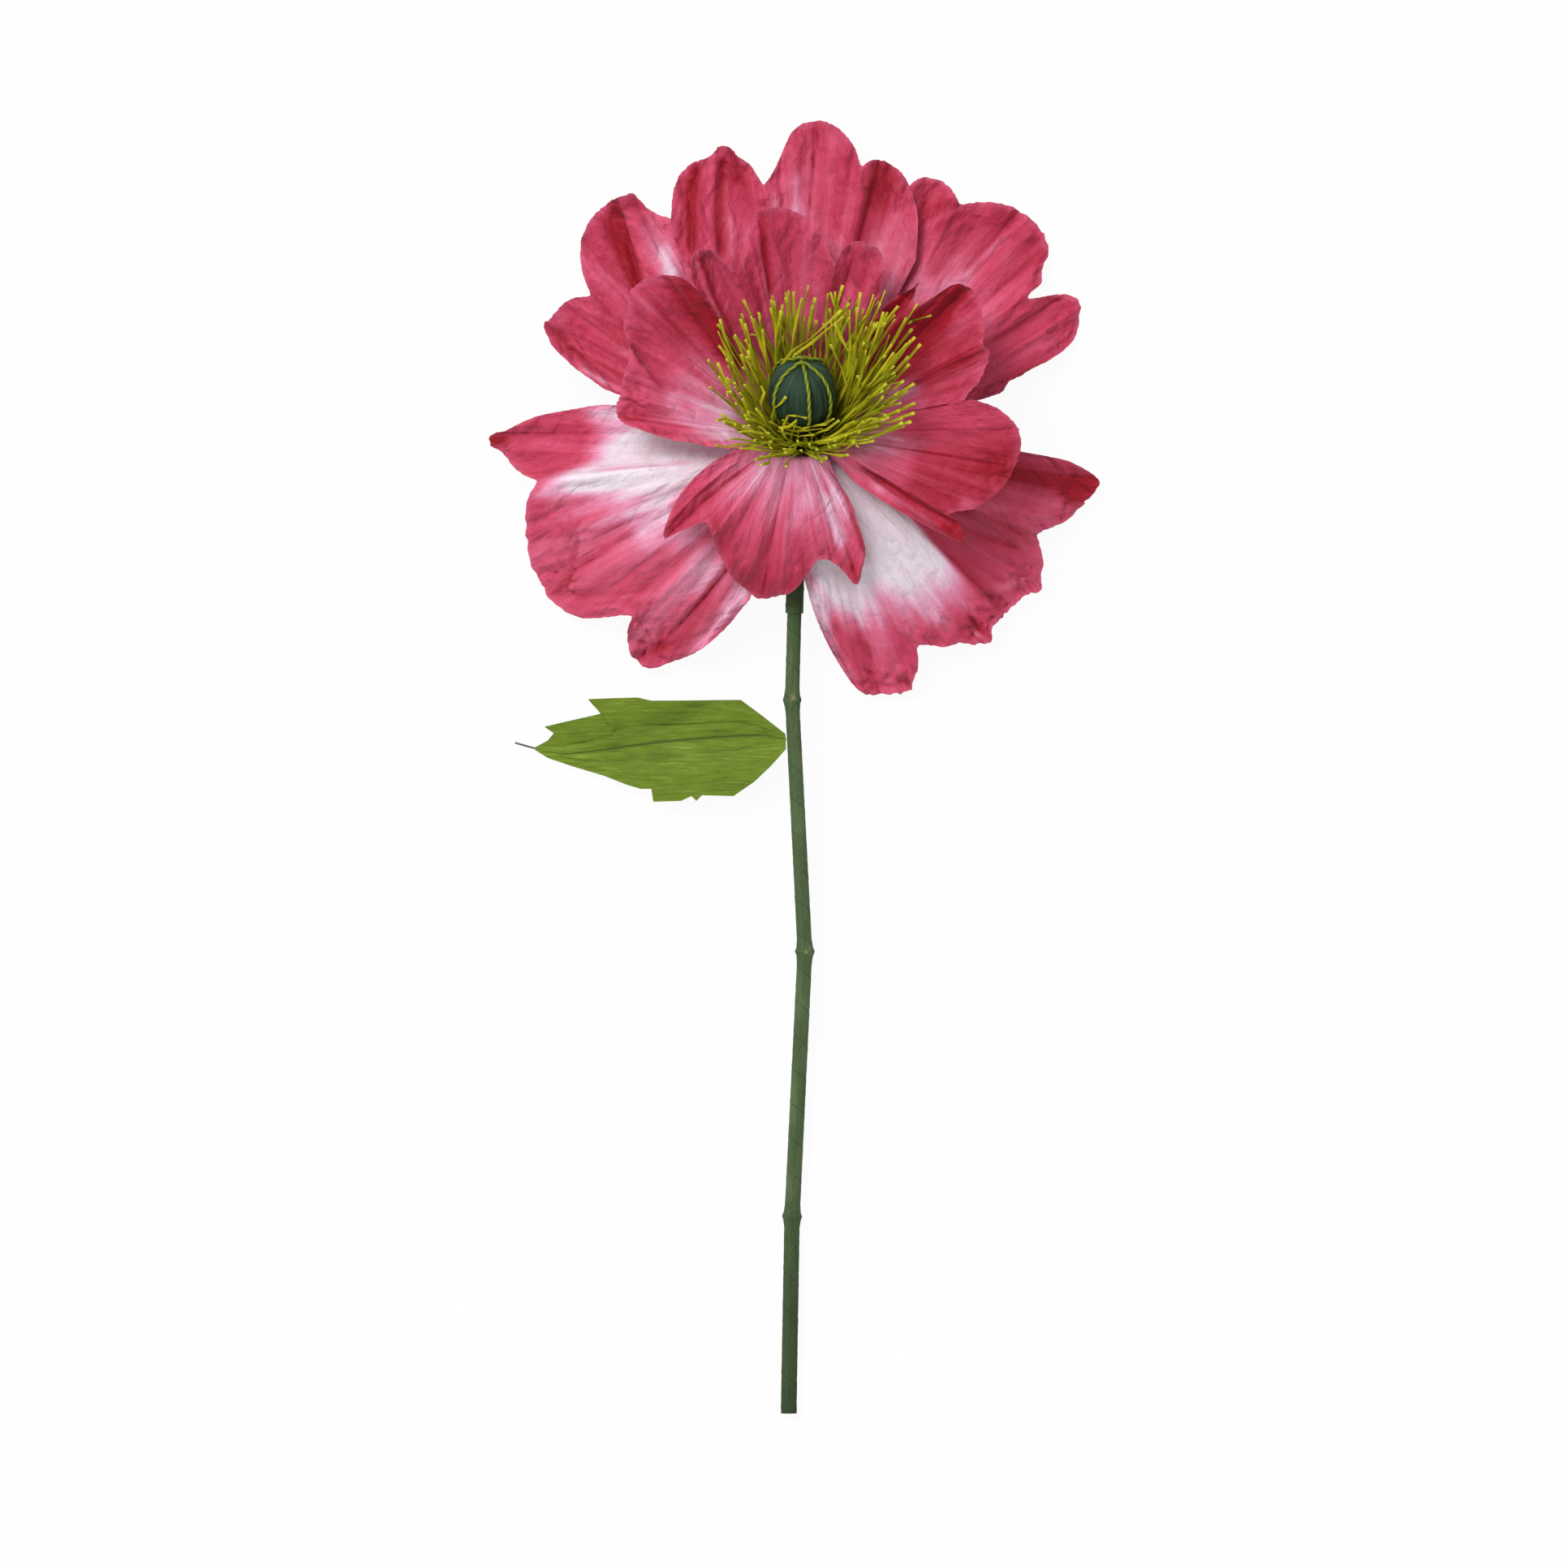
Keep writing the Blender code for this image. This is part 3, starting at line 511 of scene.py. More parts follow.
@dataclass(frozen=True)
class DyedPaper:
    """Thin paper dipped in dye from the rim: white by the claw, crimson at the rim."""

    white: Colour = srgb(236, 222, 232)
    blush: Colour = srgb(236, 192, 214)
    pink: Colour = srgb(229, 144, 176)
    rose: Colour = srgb(218, 100, 132)
    crimson: Colour = srgb(204, 70, 102)
    ruby: Colour = srgb(185, 44, 76)
    # Painted shade: dark crimson for folds, creases, pinches and under folded edges, also for the stains'
    # deeper dye.
    deep: Colour = srgb(154, 6, 34)
    # Painted highlight: a lighter colour along the cut rim.
    rim: Colour = srgb(222, 104, 138)
    roughness: float = 0.62
    relief: float = 1.3 * MM
    sheen: float = 0.1
    feather: float = 2.6
    least_feather: float = 0.12
    places: tuple[float, ...] = (0.0, 0.1, 0.28, 0.46, 0.64, 0.82, 1.0)
    fibres: tuple[tuple[Triple, int], ...] = (
        ((15, 12, 1), 4), ((95, 16, 1), 3), ((190, 70, 1), 2), ((9, 34, 1), 4)
    )

    def material(self) -> bpy.types.Material:
        """Builds the material, whose dye front follows the fibres that fan out from the claw."""
        graph = Graph("dyed_paper")
        grain = graph.vector("grain")
        streak, fine, fibre, blotch = (graph.noise(grain, scale, detail) for scale, detail in self.fibres)
        turned, distance, seed = graph.parts(grain)
        sockets = {0: turned * distance, 1: distance, 2: seed}
        sheet = graph.node("ShaderNodeCombineXYZ", {}, sockets).outputs[0]
        pleat = self.lines(graph, grain, (15, 7, 1), 6)
        fold = self.lines(graph, sheet, (62, 34, 1), 9)
        wrinkle = self.lines(graph, sheet, (210, 120, 1), 8)
        edge = graph.attribute("edge")
        crush = graph.attribute("crush")
        bend = graph.attribute("bend")
        facet = self.facets(graph, sheet)
        front = graph.attribute("dye")
        feather = (front * (1 - front) * self.feather + self.least_feather).clamped()
        uneven = (streak - 0.5) * 0.54 + (fine - 0.5) * 0.16 + (blotch - 0.5) * 0.8
        dye = front + uneven * feather
        dye = (dye + (fibre - 0.5) * 0.1 + (1 - pleat) * 0.06).clamped()
        colours = (self.white, self.white, self.blush, self.pink, self.rose, self.crimson, self.ruby)
        stops = tuple(zip(self.places, colours))
        colour = graph.ramp(dye, stops)
        # Painted highlight: the cut rim is lighter where there is dye.
        colour = graph.mix((edge * 0.45 * dye).clamped(), colour, self.rim)
        # Painted shade: dark crimson under folded edges, in grooves, pinches and crumpled valleys, and over
        # the stains, which also hold deeper dye.
        painted_fold_shadow = (0 - bend).clamped()
        painted_shade_and_dye = graph.attribute("deep") * (0.8 + streak * 0.5)
        painted_shade_and_dye = painted_shade_and_dye + painted_fold_shadow.between(0.04, 0.3) * (0.1 + painted_fold_shadow * 0.45)
        painted_shade_and_dye = (painted_shade_and_dye * (0.4 + dye * 0.7)).clamped()
        colour = graph.mix(painted_shade_and_dye, colour, self.deep)
        # Painted shade along the pleat and fold lines, and a painted highlight along the wrinkle lines.
        lines = (1 - pleat.between(0.0, 0.25)) * 0.04 + (1 - fold.between(0.0, 0.2)) * 0.03
        lines = lines - (1 - wrinkle.between(0.0, 0.25)) * 0.06
        tone = 0.99 + (blotch - 0.5) * 0.2 + (fibre - 0.5) * 0.2 - lines
        # Painted light and shade: each crushed facet is lighter or darker, and the raised side of a folded
        # edge gets a painted highlight.
        tint = Value(graph, facet.outputs["Color"])
        tone = tone + bend.between(0.04, 0.3) * 0.07 + (tint - 0.5) * 0.16 * crush
        colour = graph.toned(colour, tone)
        height = fine * 0.2 + streak * 0.15 + fibre * 0.1 + pleat * 0.25 + fold * 0.5
        dent = Value(graph, facet.outputs["Distance"])
        height = height + wrinkle * (0.16 + edge * 0.1) + dent * (0.2 + crush * 2.4)
        graph.shader.inputs["Sheen Weight"].default_value = self.sheen
        return graph.finish(colour, self.roughness + (fibre - 0.5) * 0.2, height, self.relief)

    @staticmethod
    def facets(graph: Graph, sheet: bpy.types.NodeSocket) -> bpy.types.Node:
        """Crushed facets of about a centimetre, which meet in sharp crooked folds."""
        sockets = {"Vector": graph.stretched(sheet, (70, 50, 1)), "Scale": 1.0, "Detail": 3.0}
        warp = graph.node("ShaderNodeTexNoise", {}, sockets).outputs[1]
        sockets = {0: warp, 1: (1.2, 1.2, 1.2), 2: graph.stretched(sheet, (115, 75, 1))}
        place = graph.node("ShaderNodeVectorMath", {"operation": "MULTIPLY_ADD"}, sockets).outputs[0]
        return graph.node("ShaderNodeTexVoronoi", {}, {"Vector": place, "Scale": 1.0})

    @staticmethod
    def lines(graph: Graph, place: bpy.types.NodeSocket, scale: Triple, sharpness: float) -> Value:
        """Wandering lines: 0 on each of them and 1 between them."""
        return ((graph.noise(place, scale, 2) - 0.5).size() * sharpness).clamped()


@dataclass(frozen=True)
class LeafPaper:
    """Green crepe paper, its fibres running to the leaf's tip."""

    light: Colour = srgb(134, 157, 52)
    middle: Colour = srgb(106, 130, 26)
    # Also the painted shade colour for the midrib, folds and band.
    dark: Colour = srgb(52, 76, 6)
    roughness: float = 0.68
    relief: float = 0.5 * MM

    def material(self) -> bpy.types.Material:
        """Builds the material."""
        graph = Graph("leaf_paper")
        place = graph.vector("grain")
        fibre = graph.noise(place, (60, 700, 1), 3)
        hair = graph.noise(place, (260, 1500, 1), 2)
        band = graph.noise(place, (22, 60, 1), 3)
        stops = ((0.1, self.dark), (0.47, self.middle), (0.53, self.middle), (0.8, self.light))
        tint = ((fibre - 0.5) * 0.6 + (band - 0.5) * 0.8 + 0.5).clamped()
        colour = graph.ramp(tint, stops)
        # Painted shade along the midrib, in the valley folds and in a soft band.
        colour = graph.mix(graph.attribute("deep"), colour, self.dark)
        colour = graph.toned(colour, 0.92 + (hair - 0.5) * 0.5 + (fibre - 0.5) * 0.4)
        return graph.finish(colour, self.roughness, fibre * 0.7 + band * 0.4 + hair * 0.2, self.relief)


@dataclass(frozen=True)
class CrepeTape:
    """Florist's crepe tape wound on a slant, with the edge of each turn showing."""

    green: Colour = srgb(70, 90, 54)
    pale: Colour = srgb(88, 107, 71)
    dark: Colour = srgb(38, 56, 28)
    fleck: Colour = srgb(168, 150, 102)
    roughness: float = 0.72
    relief: float = 0.4 * MM

    def material(self) -> bpy.types.Material:
        """Builds the material, on (share round, metres along, knobbiness)."""
        graph = Graph("crepe_tape")
        round_, along, knob = graph.parts(graph.vector("wound"))
        turn = (along / TAPE_TURN + round_).fraction()
        edge = 1 - turn.between(0.0, 0.07)
        fibre = graph.noise(graph.place(), (1400, 260, 1400), 3)
        blotch = graph.noise(graph.place(), (90, 34, 90), 3)
        colour = graph.mix(blotch.between(0.35, 0.7), self.green, self.pale)
        colour = graph.mix((1 - along.between(0.0, 0.2)) * 0.75, colour, self.dark)
        colour = graph.mix(edge * 0.55 + fibre.between(0.6, 0.85) * 0.3, colour, self.dark)
        worn = knob * blotch.between(0.52, 0.6) * fibre.between(0.4, 0.6)
        colour = graph.mix(worn, colour, self.fleck)
        return graph.finish(colour, self.roughness, fibre * 0.6 + turn * 0.8, self.relief)


@dataclass(frozen=True)
class PodPaper:
    """Dark green paper gathered over the pod's ball, in fine upright creases."""

    green: Colour = srgb(42, 66, 50)
    # Painted shade in the creases.
    dark: Colour = srgb(16, 32, 24)
    # Painted highlight on the crease ridges.
    pale: Colour = srgb(62, 88, 66)
    roughness: float = 0.55
    relief: float = 0.6 * MM

    def material(self) -> bpy.types.Material:
        """Builds the material, on (round the pod, down it, round it again)."""
        graph = Graph("pod_paper")
        place = graph.vector("grain")
        crease = graph.noise(place, (9, 30, 1), 4)
        fibre = graph.noise(place, (60, 160, 1), 3)
        # Painted highlight on the crease ridges and painted shade in the creases, deepest where the cover is
        # gathered deepest.
        colour = graph.mix(crease.between(0.45, 0.75), self.green, self.pale)
        painted_groove_shade = graph.attribute("deep") + (1 - crease.between(0.28, 0.46)) * 0.7
        colour = graph.mix(painted_groove_shade, colour, self.dark)
        return graph.finish(colour, self.roughness, crease + fibre * 0.4, self.relief)


@dataclass(frozen=True)
class TwistedPaper:
    """Twisted paper cord or string, with painted light and shade: lighter towards a highlight colour by its
    tint, painted shade in its grooves and at its root, and a painted highlight at its tip.
    """

    name: str
    colour: Colour
    # Painted highlight colour, blended in by the tint.
    ridge: Colour
    # Painted shade colour for the twist's grooves.
    painted_groove_shade: Colour
    # Painted shade at the root.
    root: Colour
    # Painted highlight at the tip.
    tip: Colour
    roughness: float = 0.7
    relief: float = 0.3 * MM

    def material(self) -> bpy.types.Material:
        """Builds the material, on (share along, tint, depth of the painted shade in the grooves)."""
        graph = Graph(self.name)
        along, tint, painted_groove_shade = graph.parts(graph.vector("strand"))
        speck = graph.noise(graph.place(), (900, 900, 900), 2)
        # Painted light and shade: lighter towards the highlight colour by tint, painted shade in the grooves
        # and at the root, and a painted highlight at the tip.
        colour = graph.mix(tint, self.colour, self.ridge)
        colour = graph.mix(painted_groove_shade * 0.8 + speck.between(0.62, 0.8) * 0.25, colour, self.painted_groove_shade)
        colour = graph.mix(1 - along.between(0.1, 0.5), colour, self.root)
        colour = graph.mix(along.between(0.955, 0.985), colour, self.tip)
        return graph.finish(colour, self.roughness, speck, self.relief)


@dataclass(frozen=True)
class Plain:
    """A plain hard finish with a grain: dry cane, wire or the pod's pressed ball."""

    name: str
    light: Colour
    dark: Colour
    roughness: float
    metallic: float = 0.0
    grain: Triple = (900, 40, 900)
    relief: float = 0.2 * MM

    def material(self) -> bpy.types.Material:
        """Builds the material."""
        graph = Graph(self.name)
        fibre = graph.noise(graph.place(), self.grain, 4)
        colour = graph.mix(fibre.between(0.3, 0.7), self.dark, self.light)
        graph.shader.inputs["Metallic"].default_value = self.metallic
        return graph.finish(colour, self.roughness + (fibre - 0.5) * 0.15, fibre, self.relief)


class Slot(Enum):
    """The record's material slots that the pieces here use."""

    PETAL = "petal_paper"
    LEAF = "leaf_paper"
    TAPE = "stem_tape"
    POD = "pod_paper"
    CORD = "pod_cord"
    STRING = "stamen_paper"


def dress(made: bpy.types.Object, finish: bpy.types.Material, slot: Slot, *nodes: str) -> None:
    """Gives a finished piece its material and body, and hides the solids that it stands for.

    Args:
        made: The piece.
        finish: Its material.
        slot: The record's slot for it; not used.
        nodes: The solids that it stands for.
    """
    made.data.materials.clear()
    made.data.materials.append(finish)
    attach(made, BODY)
    if nodes:
        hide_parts(*nodes)
    LOG.info("%s: %d faces", made.name, len(made.data.polygons))


# Petals


@dataclass(frozen=True)
class Whorl:
    """A ring of petals: its profile from claw to brim, as (radius, along) in mm, and its sheet."""

    profile: Rows
    span: Sides
    tip_height: Sides
    arch: Sides
    fold: float
    overshoot: float = 1.2

    def brim_distance(self, bearing: np.ndarray) -> np.ndarray:
        """The plan distance in mm from the head's base to the brim, an ellipse in plan."""
        radius, along = self.profile[-1]
        shift, flat = along * math.cos(HEAD_TILT), math.sin(HEAD_TILT)
        across, up = compass(bearing)
        a = across**2 + (up / flat) ** 2
        b = -2 * up * shift / flat**2
        c = (shift / flat) ** 2 - radius**2
        return (-b + np.sqrt(b * b - 4 * a * c)) / (2 * a)

    def height(self, bearing: np.ndarray, distance: np.ndarray) -> np.ndarray:
        """The sheet's height in mm at a plan bearing and a distance from the head's base."""
        start = self.brim_distance(bearing)
        along = self.profile[-1][1]
        north = start * compass(bearing)[1] - along * math.cos(HEAD_TILT)
        brim = HEAD_BASE[2] / MM + along * math.sin(HEAD_TILT) - north / math.tan(HEAD_TILT)
        tip = self.tip_height.at(bearing) + TABLE / MM
        share = np.minimum((distance - start) / (self.span.at(bearing) - start), self.overshoot)
        return brim + (tip - brim) * share + self.arch.at(bearing) * 4 * share * (1 - share)


INNER = Whorl(
    profile=((8.55, -11), (8.95, -3.5), (16, 2), (29, 9)),
    span=Sides(136, 146, 132, 100),
    tip_height=Sides(74, 60, 72, 51),
    arch=Sides(2, -6, 2, 8),
    fold=2.2,
)
OUTER = Whorl(
    profile=((9.65, -13), (10.05, -7.5), (18, -5), (32, -3)),
    span=Sides(190, 200, 186, 165),
    tip_height=Sides(-0.2, 13, 5.5, 9),
    arch=Sides(14, -2, 14, 0),
    fold=2.4,
)


@dataclass(frozen=True)
class Petal:
    """One cut, dyed and pleated petal.

    Rim is (bearing, reach) round the cut edge. Lobes are the bearings of notch, lobe, notch and
    so on. Dye is (bearing, palest until, crimson from), in mm from the head's base, and palest is
    the dye inside that front, from 0 to 1. Shades, where it changes round the petal, are
    (bearing, palest, fullest). Pinches are (bearing, distance, radius, depth), with painted shade in
    their folds. Curls are (bearing, width in degrees, rise at the rim, start as a share). The other
    features run along a path, (bearing, distance, bearing, distance, width in mm, amount): furrows
    are sharp ridges or grooves, with painted shade in the grooves, and steps are folded edges, by
    their height in mm, with painted shade under them and a painted highlight over them. Stains hold
    more dye and painted fold shadows, and washes hold less dye and painted highlights. Sizes that
    aren't times MM are in mm, and the ranges are for random folds of the same kinds.
    """

    name: str
    whorl: Whorl
    claw: tuple[float, float]
    seed: int
    palest: float
    rim: Rows
    lobes: tuple[float, ...]
    dye: Rows
    furrows: Rows = ()
    steps: Rows = ()
    stains_and_shadows: Rows = ()
    washes_and_highlights: Rows = ()
    pinches: Rows = ()
    curls: Rows = ()
    shades: Rows = ()
    lift: float = 0.0
    crumple: float = 1.0
    fullest: float = 0.88
    across: int = 190
    along: int = 84
    claw_rows: int = 12
    paper: float = 0.3 * MM
    lift_length: float = 22.0
    fold_gain: float = 1.5
    millimetres_per_degree: float = 2.6
    raggedness: float = 0.4
    ragged_pitch: tuple[float, float] = (6.0, 1.0)
    wave_height: float = 1.9
    wave_pitch: tuple[float, float] = (15.0, 130.0)
    crease_spacing: float = 2.4
    crease_size: tuple[float, float] = (0.2, 0.7)
    crease_width: tuple[float, float] = (0.7, 2.0)
    crease_shade: float = 0.05
    crinkles_per_degree: float = 1.1
    crinkle_size: tuple[float, float] = (0.15, 0.6)
    crinkle_width: tuple[float, float] = (0.8, 1.8)
    crinkle_length: tuple[float, float] = (12, 34)
    crinkle_shade: float = 0.06
    loose_steps: tuple[float, ...] = (0.5, -0.6, 0.7, -0.5)
    groove_shade: float = 0.08
    crushed_shade: float = 0.17
    facet: float = 11.0
    facet_height: float = 1.5
    fine_facet: float = 5.0
    fine_height: float = 0.4
    broad_facet: float = 24.0
    broad_height: float = 1.2
    crushed_width: float = 36.0
    edge_width: float = 5.0

    def rim_columns(self) -> tuple[np.ndarray, np.ndarray]:
        """The bearing and the reach in mm of each column's end, evenly spaced round the rim."""
        rim, gone = spaced(np.array(self.rim, float), self.across + 1, (self.millimetres_per_degree, 1.0))
        bearing, reach = smoothed(rim, 2).T
        ragged = self.raggedness * waves(gone, gone * 0, self.ragged_pitch, self.seed) * ease(reach / 60)
        return np.maximum.accumulate(bearing), reach + ragged

    def build(self, finish: bpy.types.Material) -> None:
        """Builds the petal over its solid and dresses it."""
        bearing, reach = self.rim_columns()
        middle = (bearing[0] + bearing[-1]) / 2
        across_share = (bearing - bearing[0]) / (bearing[-1] - bearing[0])
        order = np.linspace(0, 1, self.across + 1)
        azimuth = self.claw[0] + (self.claw[1] - self.claw[0]) * (0.85 * across_share + 0.15 * order)
        points = self.base_sheet(azimuth, bearing, reach)

        out = (points[:, :, :2] - HEAD_BASE[:2]) / MM
        distance = np.hypot(out[:, :, 0], out[:, :, 1])
        share = np.clip(np.arange(self.along + 1.0) - self.claw_rows, 0, None)
        share = np.broadcast_to(share / share[-1], distance.shape)
        columns = np.broadcast_to(bearing[:, None], distance.shape)
        relief, deep, bend, crush = self.relief(columns, share, distance, reach[:, None])
        points += self.normals(points) * (relief * MM)[:, :, None]
        points[:, :, 2] = np.maximum(points[:, :, 2], TABLE + self.paper)

        white, full = (looked_up(self.dye, columns, column) for column in (1, 2))
        shades = self.shades or ((0, self.palest, self.fullest),)
        palest, fullest = (looked_up(shades, columns, column) for column in (1, 2))
        dye = palest + (fullest - palest) * np.clip((distance - white) / (full - white), 0, 1)
        # Stains add deeper dye and painted fold shadows; washes take dye away and add painted highlights.
        for row in self.stains_and_shadows:
            deep = deep + row[5] * self.streak(columns, distance, row, bell)
        for row in self.washes_and_highlights:
            dye = dye - row[5] * self.streak(columns, distance, row, bell)
        edge = ease((distance - reach[:, None]) / self.edge_width + 1)
        turned = np.radians(columns - middle)
        grain = np.stack([turned, distance * MM, np.full(distance.shape, self.seed * 7.3)], axis=2)

        # The bend layer carries painted shade under folded edges and a painted highlight over them, edge the
        # painted rim highlight, and the shade layer the painted shade and the stains' deeper dye.
        made = grid_piece(
            self.name + "_paper",
            points,
            dye=np.clip(dye, 0, 1),
            deep=np.clip(deep, 0, 1),
            bend=np.clip(bend, -1, 1),
            crush=np.clip(crush, 0, 1),
            edge=edge,
            grain=grain,
        )
        thicken(made, self.paper, 0)
        shade(made)
        dress(made, finish, Slot.PETAL, self.name)

    def base_sheet(self, azimuth: np.ndarray, bearing: np.ndarray, reach: np.ndarray) -> np.ndarray:
        """The smooth sheet from the claw to the rim, by column and row."""
        profile = spaced(np.array(self.whorl.profile, float), self.claw_rows + 1)[0] * MM
        claw = head_points(azimuth[:, None], profile[:, 0], profile[:, 1])
        tip = np.stack(compass(bearing), axis=1) * reach[:, None] * MM + HEAD_BASE[:2]
        brim = claw[:, -1]
        rows = self.along - self.claw_rows
        share = np.arange(1, rows + 1)[None, :, None] / rows
        plan = brim[:, None, :2] + (tip - brim[:, :2])[:, None] * share
        off = (plan - HEAD_BASE[:2]) / MM
        distance = np.hypot(off[:, :, 0], off[:, :, 1])
        here = np.degrees(np.arctan2(off[:, :, 1], off[:, :, 0]))
        height = self.whorl.height(here, distance)
        past = share[:, :, 0] * np.linalg.norm(tip - brim[:, :2], axis=1)[:, None] / MM
        order = np.interp(bearing, self.lobes, range(len(self.lobes)))
        crease = np.cos(math.pi * order)[:, None]
        height += (self.lift + self.whorl.fold * crease) * ease(past / self.lift_length)
        sheet = np.concatenate([plan, height[:, :, None] * MM], axis=2)
        return smoothed(np.concatenate([claw, sheet], axis=1), 3, axis=1)

    @staticmethod
    def normals(points: np.ndarray) -> np.ndarray:
        """The sheet's directions at right angles to it, on its upper side."""
        found = np.cross(np.gradient(points, axis=0), np.gradient(points, axis=1))
        found /= np.maximum(np.linalg.norm(found, axis=2), 1e-12)[:, :, None]
        return found * np.where(found[:, :, 2:] < 0, -1, 1)

    @staticmethod
    def streak(columns: np.ndarray, distance: np.ndarray, row: Sequence[float], shape: Shape) -> np.ndarray:
        """How strongly a feature along a path shows at each place.

        Args:
            columns: The bearing of each place.
            distance: Its distance in mm from the head's base.
            row: The feature's row.
            shape: Its strength by the distance off its path over its width.

        Returns:
            The strength, which fades out past both ends of the path.
        """
        bearing, start, last, end, width = row[:5]
        share = np.clip((distance - start) / (end - start), 0, 1)
        off = np.radians(columns - bearing - (last - bearing) * share) * distance / width
        soft = min(12.0, 0.7 * (end - start))
        window = ease((distance - start) / soft + 0.5) * (1 - ease((distance - end) / soft + 0.5))
        return shape(off) * window

    def relief(
        self, columns: np.ndarray, share: np.ndarray, distance: np.ndarray, reach: np.ndarray
    ) -> tuple[np.ndarray, ...]:
        """The folds, pleats and crumples of the sheet.

        Args:
            columns: The bearing of each point's column.
            share: Its place from brim to rim.
            distance: Its distance in mm from the head's base.
            reach: The reach of its column in mm.

        Returns:
            The height off the smooth sheet in mm, the painted shade in its grooves, pinches and crumpled
            valleys, how far a place lies over or under a folded edge, from -1 to 1, and how crushed it is.
        """
        draw = np.random.default_rng(self.seed)
        arc = np.radians(columns - columns.mean()) * distance
        spread = ease(share / 0.3)
        height = self.wave_height * waves(columns, distance, self.wave_pitch, self.seed) * spread * share
        low, high, far = columns.min(), columns.max(), reach.max()
        shadow = np.zeros_like(height)
        for row in self.random_folds(draw, low, high, far):
            ridge = self.streak(columns, distance, row, cusp)
            height += row[5] * ridge * spread
            shadow += row[6] * ridge**2
        for row in self.furrows:
            ridge = self.streak(columns, distance, row, cusp)
            height += self.fold_gain * row[5] * ridge
            shadow += self.groove_shade * max(-row[5], 0) * ridge**2
        bend = np.zeros_like(height)
        loose = []
        for size in self.loose_steps:
            at = draw.uniform(low, high)
            loose.append((at, 0.68 * far, at + draw.normal(0, 5), 0.97 * far, 5.0, size))
        for row in (*self.steps, *loose):
            edge = self.streak(columns, distance, row, cliff)
            height += self.fold_gain * row[5] * edge
            bend += 0.6 * row[5] * edge
        for at, width, rise, start in self.curls:
            turned = np.clip((share - start) / (1 - start), 0, 1)
            height += rise * turned**2 * bell((columns - at) / width)
        for at, place, radius, depth in self.pinches:
            off, on = np.radians(columns - at) * distance / radius, (distance - place) / radius
            near = np.hypot(off, on)
            rays = np.abs(np.sin(3.5 * np.arctan2(on, off) + 1.2 * near + at))
            height += depth * (2.4 * (rays - 0.6) * np.minimum(near * 1.5, 1) - 0.9) * bell(near * 0.8)
            shadow += 0.3 * bell(near * 4) + 0.4 * (1 - rays) ** 4 * bell(near * 0.8) * ease(near / 0.4)
        rim = (1 - ease((reach - distance) / self.crushed_width)) * self.crumple
        small = crumple(arc + 0.3 * distance, distance, self.facet, self.seed + 50)
        fine = crumple(arc - 0.5 * distance, distance * 1.4, self.fine_facet, self.seed + 70)
        broad = crumple(arc, distance * 0.6, self.broad_facet, self.seed + 90)
        height += (self.facet_height * small + self.fine_height * fine) * (0.1 + rim) * spread
        height += self.broad_height * broad * spread * (0.3 + 0.7 * share)
        shadow += (ease((-small - 0.4) / 0.5) + 0.5 * ease((-fine - 0.45) / 0.5)) * rim * self.crushed_shade
        return height, np.clip(shadow, 0, 1), bend, rim

    def random_folds(
        self, draw: np.random.Generator, low: float, high: float, far: float
    ) -> Iterator[tuple[float, ...]]:
        """Long creases, then short crinkles near the rim.

        Args:
            draw: The petal's random numbers.
            low: The petal's first bearing.
            high: Its last bearing.
            far: Its furthest reach in mm.

        Yields:
            A furrow's row and how dark its groove is.
        """
        for _ in range(int((high - low) / self.crease_spacing)):
            at, lean = draw.uniform(low, high), draw.normal(0, 1.8)
            start, end = draw.uniform(0.1, 0.75) * far, draw.uniform(0.8, 1.05) * far
            size = draw.uniform(*self.crease_size) * draw.choice((-1, 1), p=(0.5, 0.5))
            dark = self.crease_shade * (size < 0)
            yield at, start, at + lean, end, draw.uniform(*self.crease_width), size, dark
        for _ in range(int((high - low) * self.crinkles_per_degree)):
            at, lean = draw.uniform(low, high), draw.normal(0, 6)
            start = (1 - 0.6 * draw.uniform(0, 1) ** 1.7) * far - 24
            end, width = start + draw.uniform(*self.crinkle_length), draw.uniform(*self.crinkle_width)
            size = draw.uniform(*self.crinkle_size) * draw.choice((-1, 1)) * self.crumple
            yield at, start, at + lean, end, width, size, self.crinkle_shade * (size < 0)


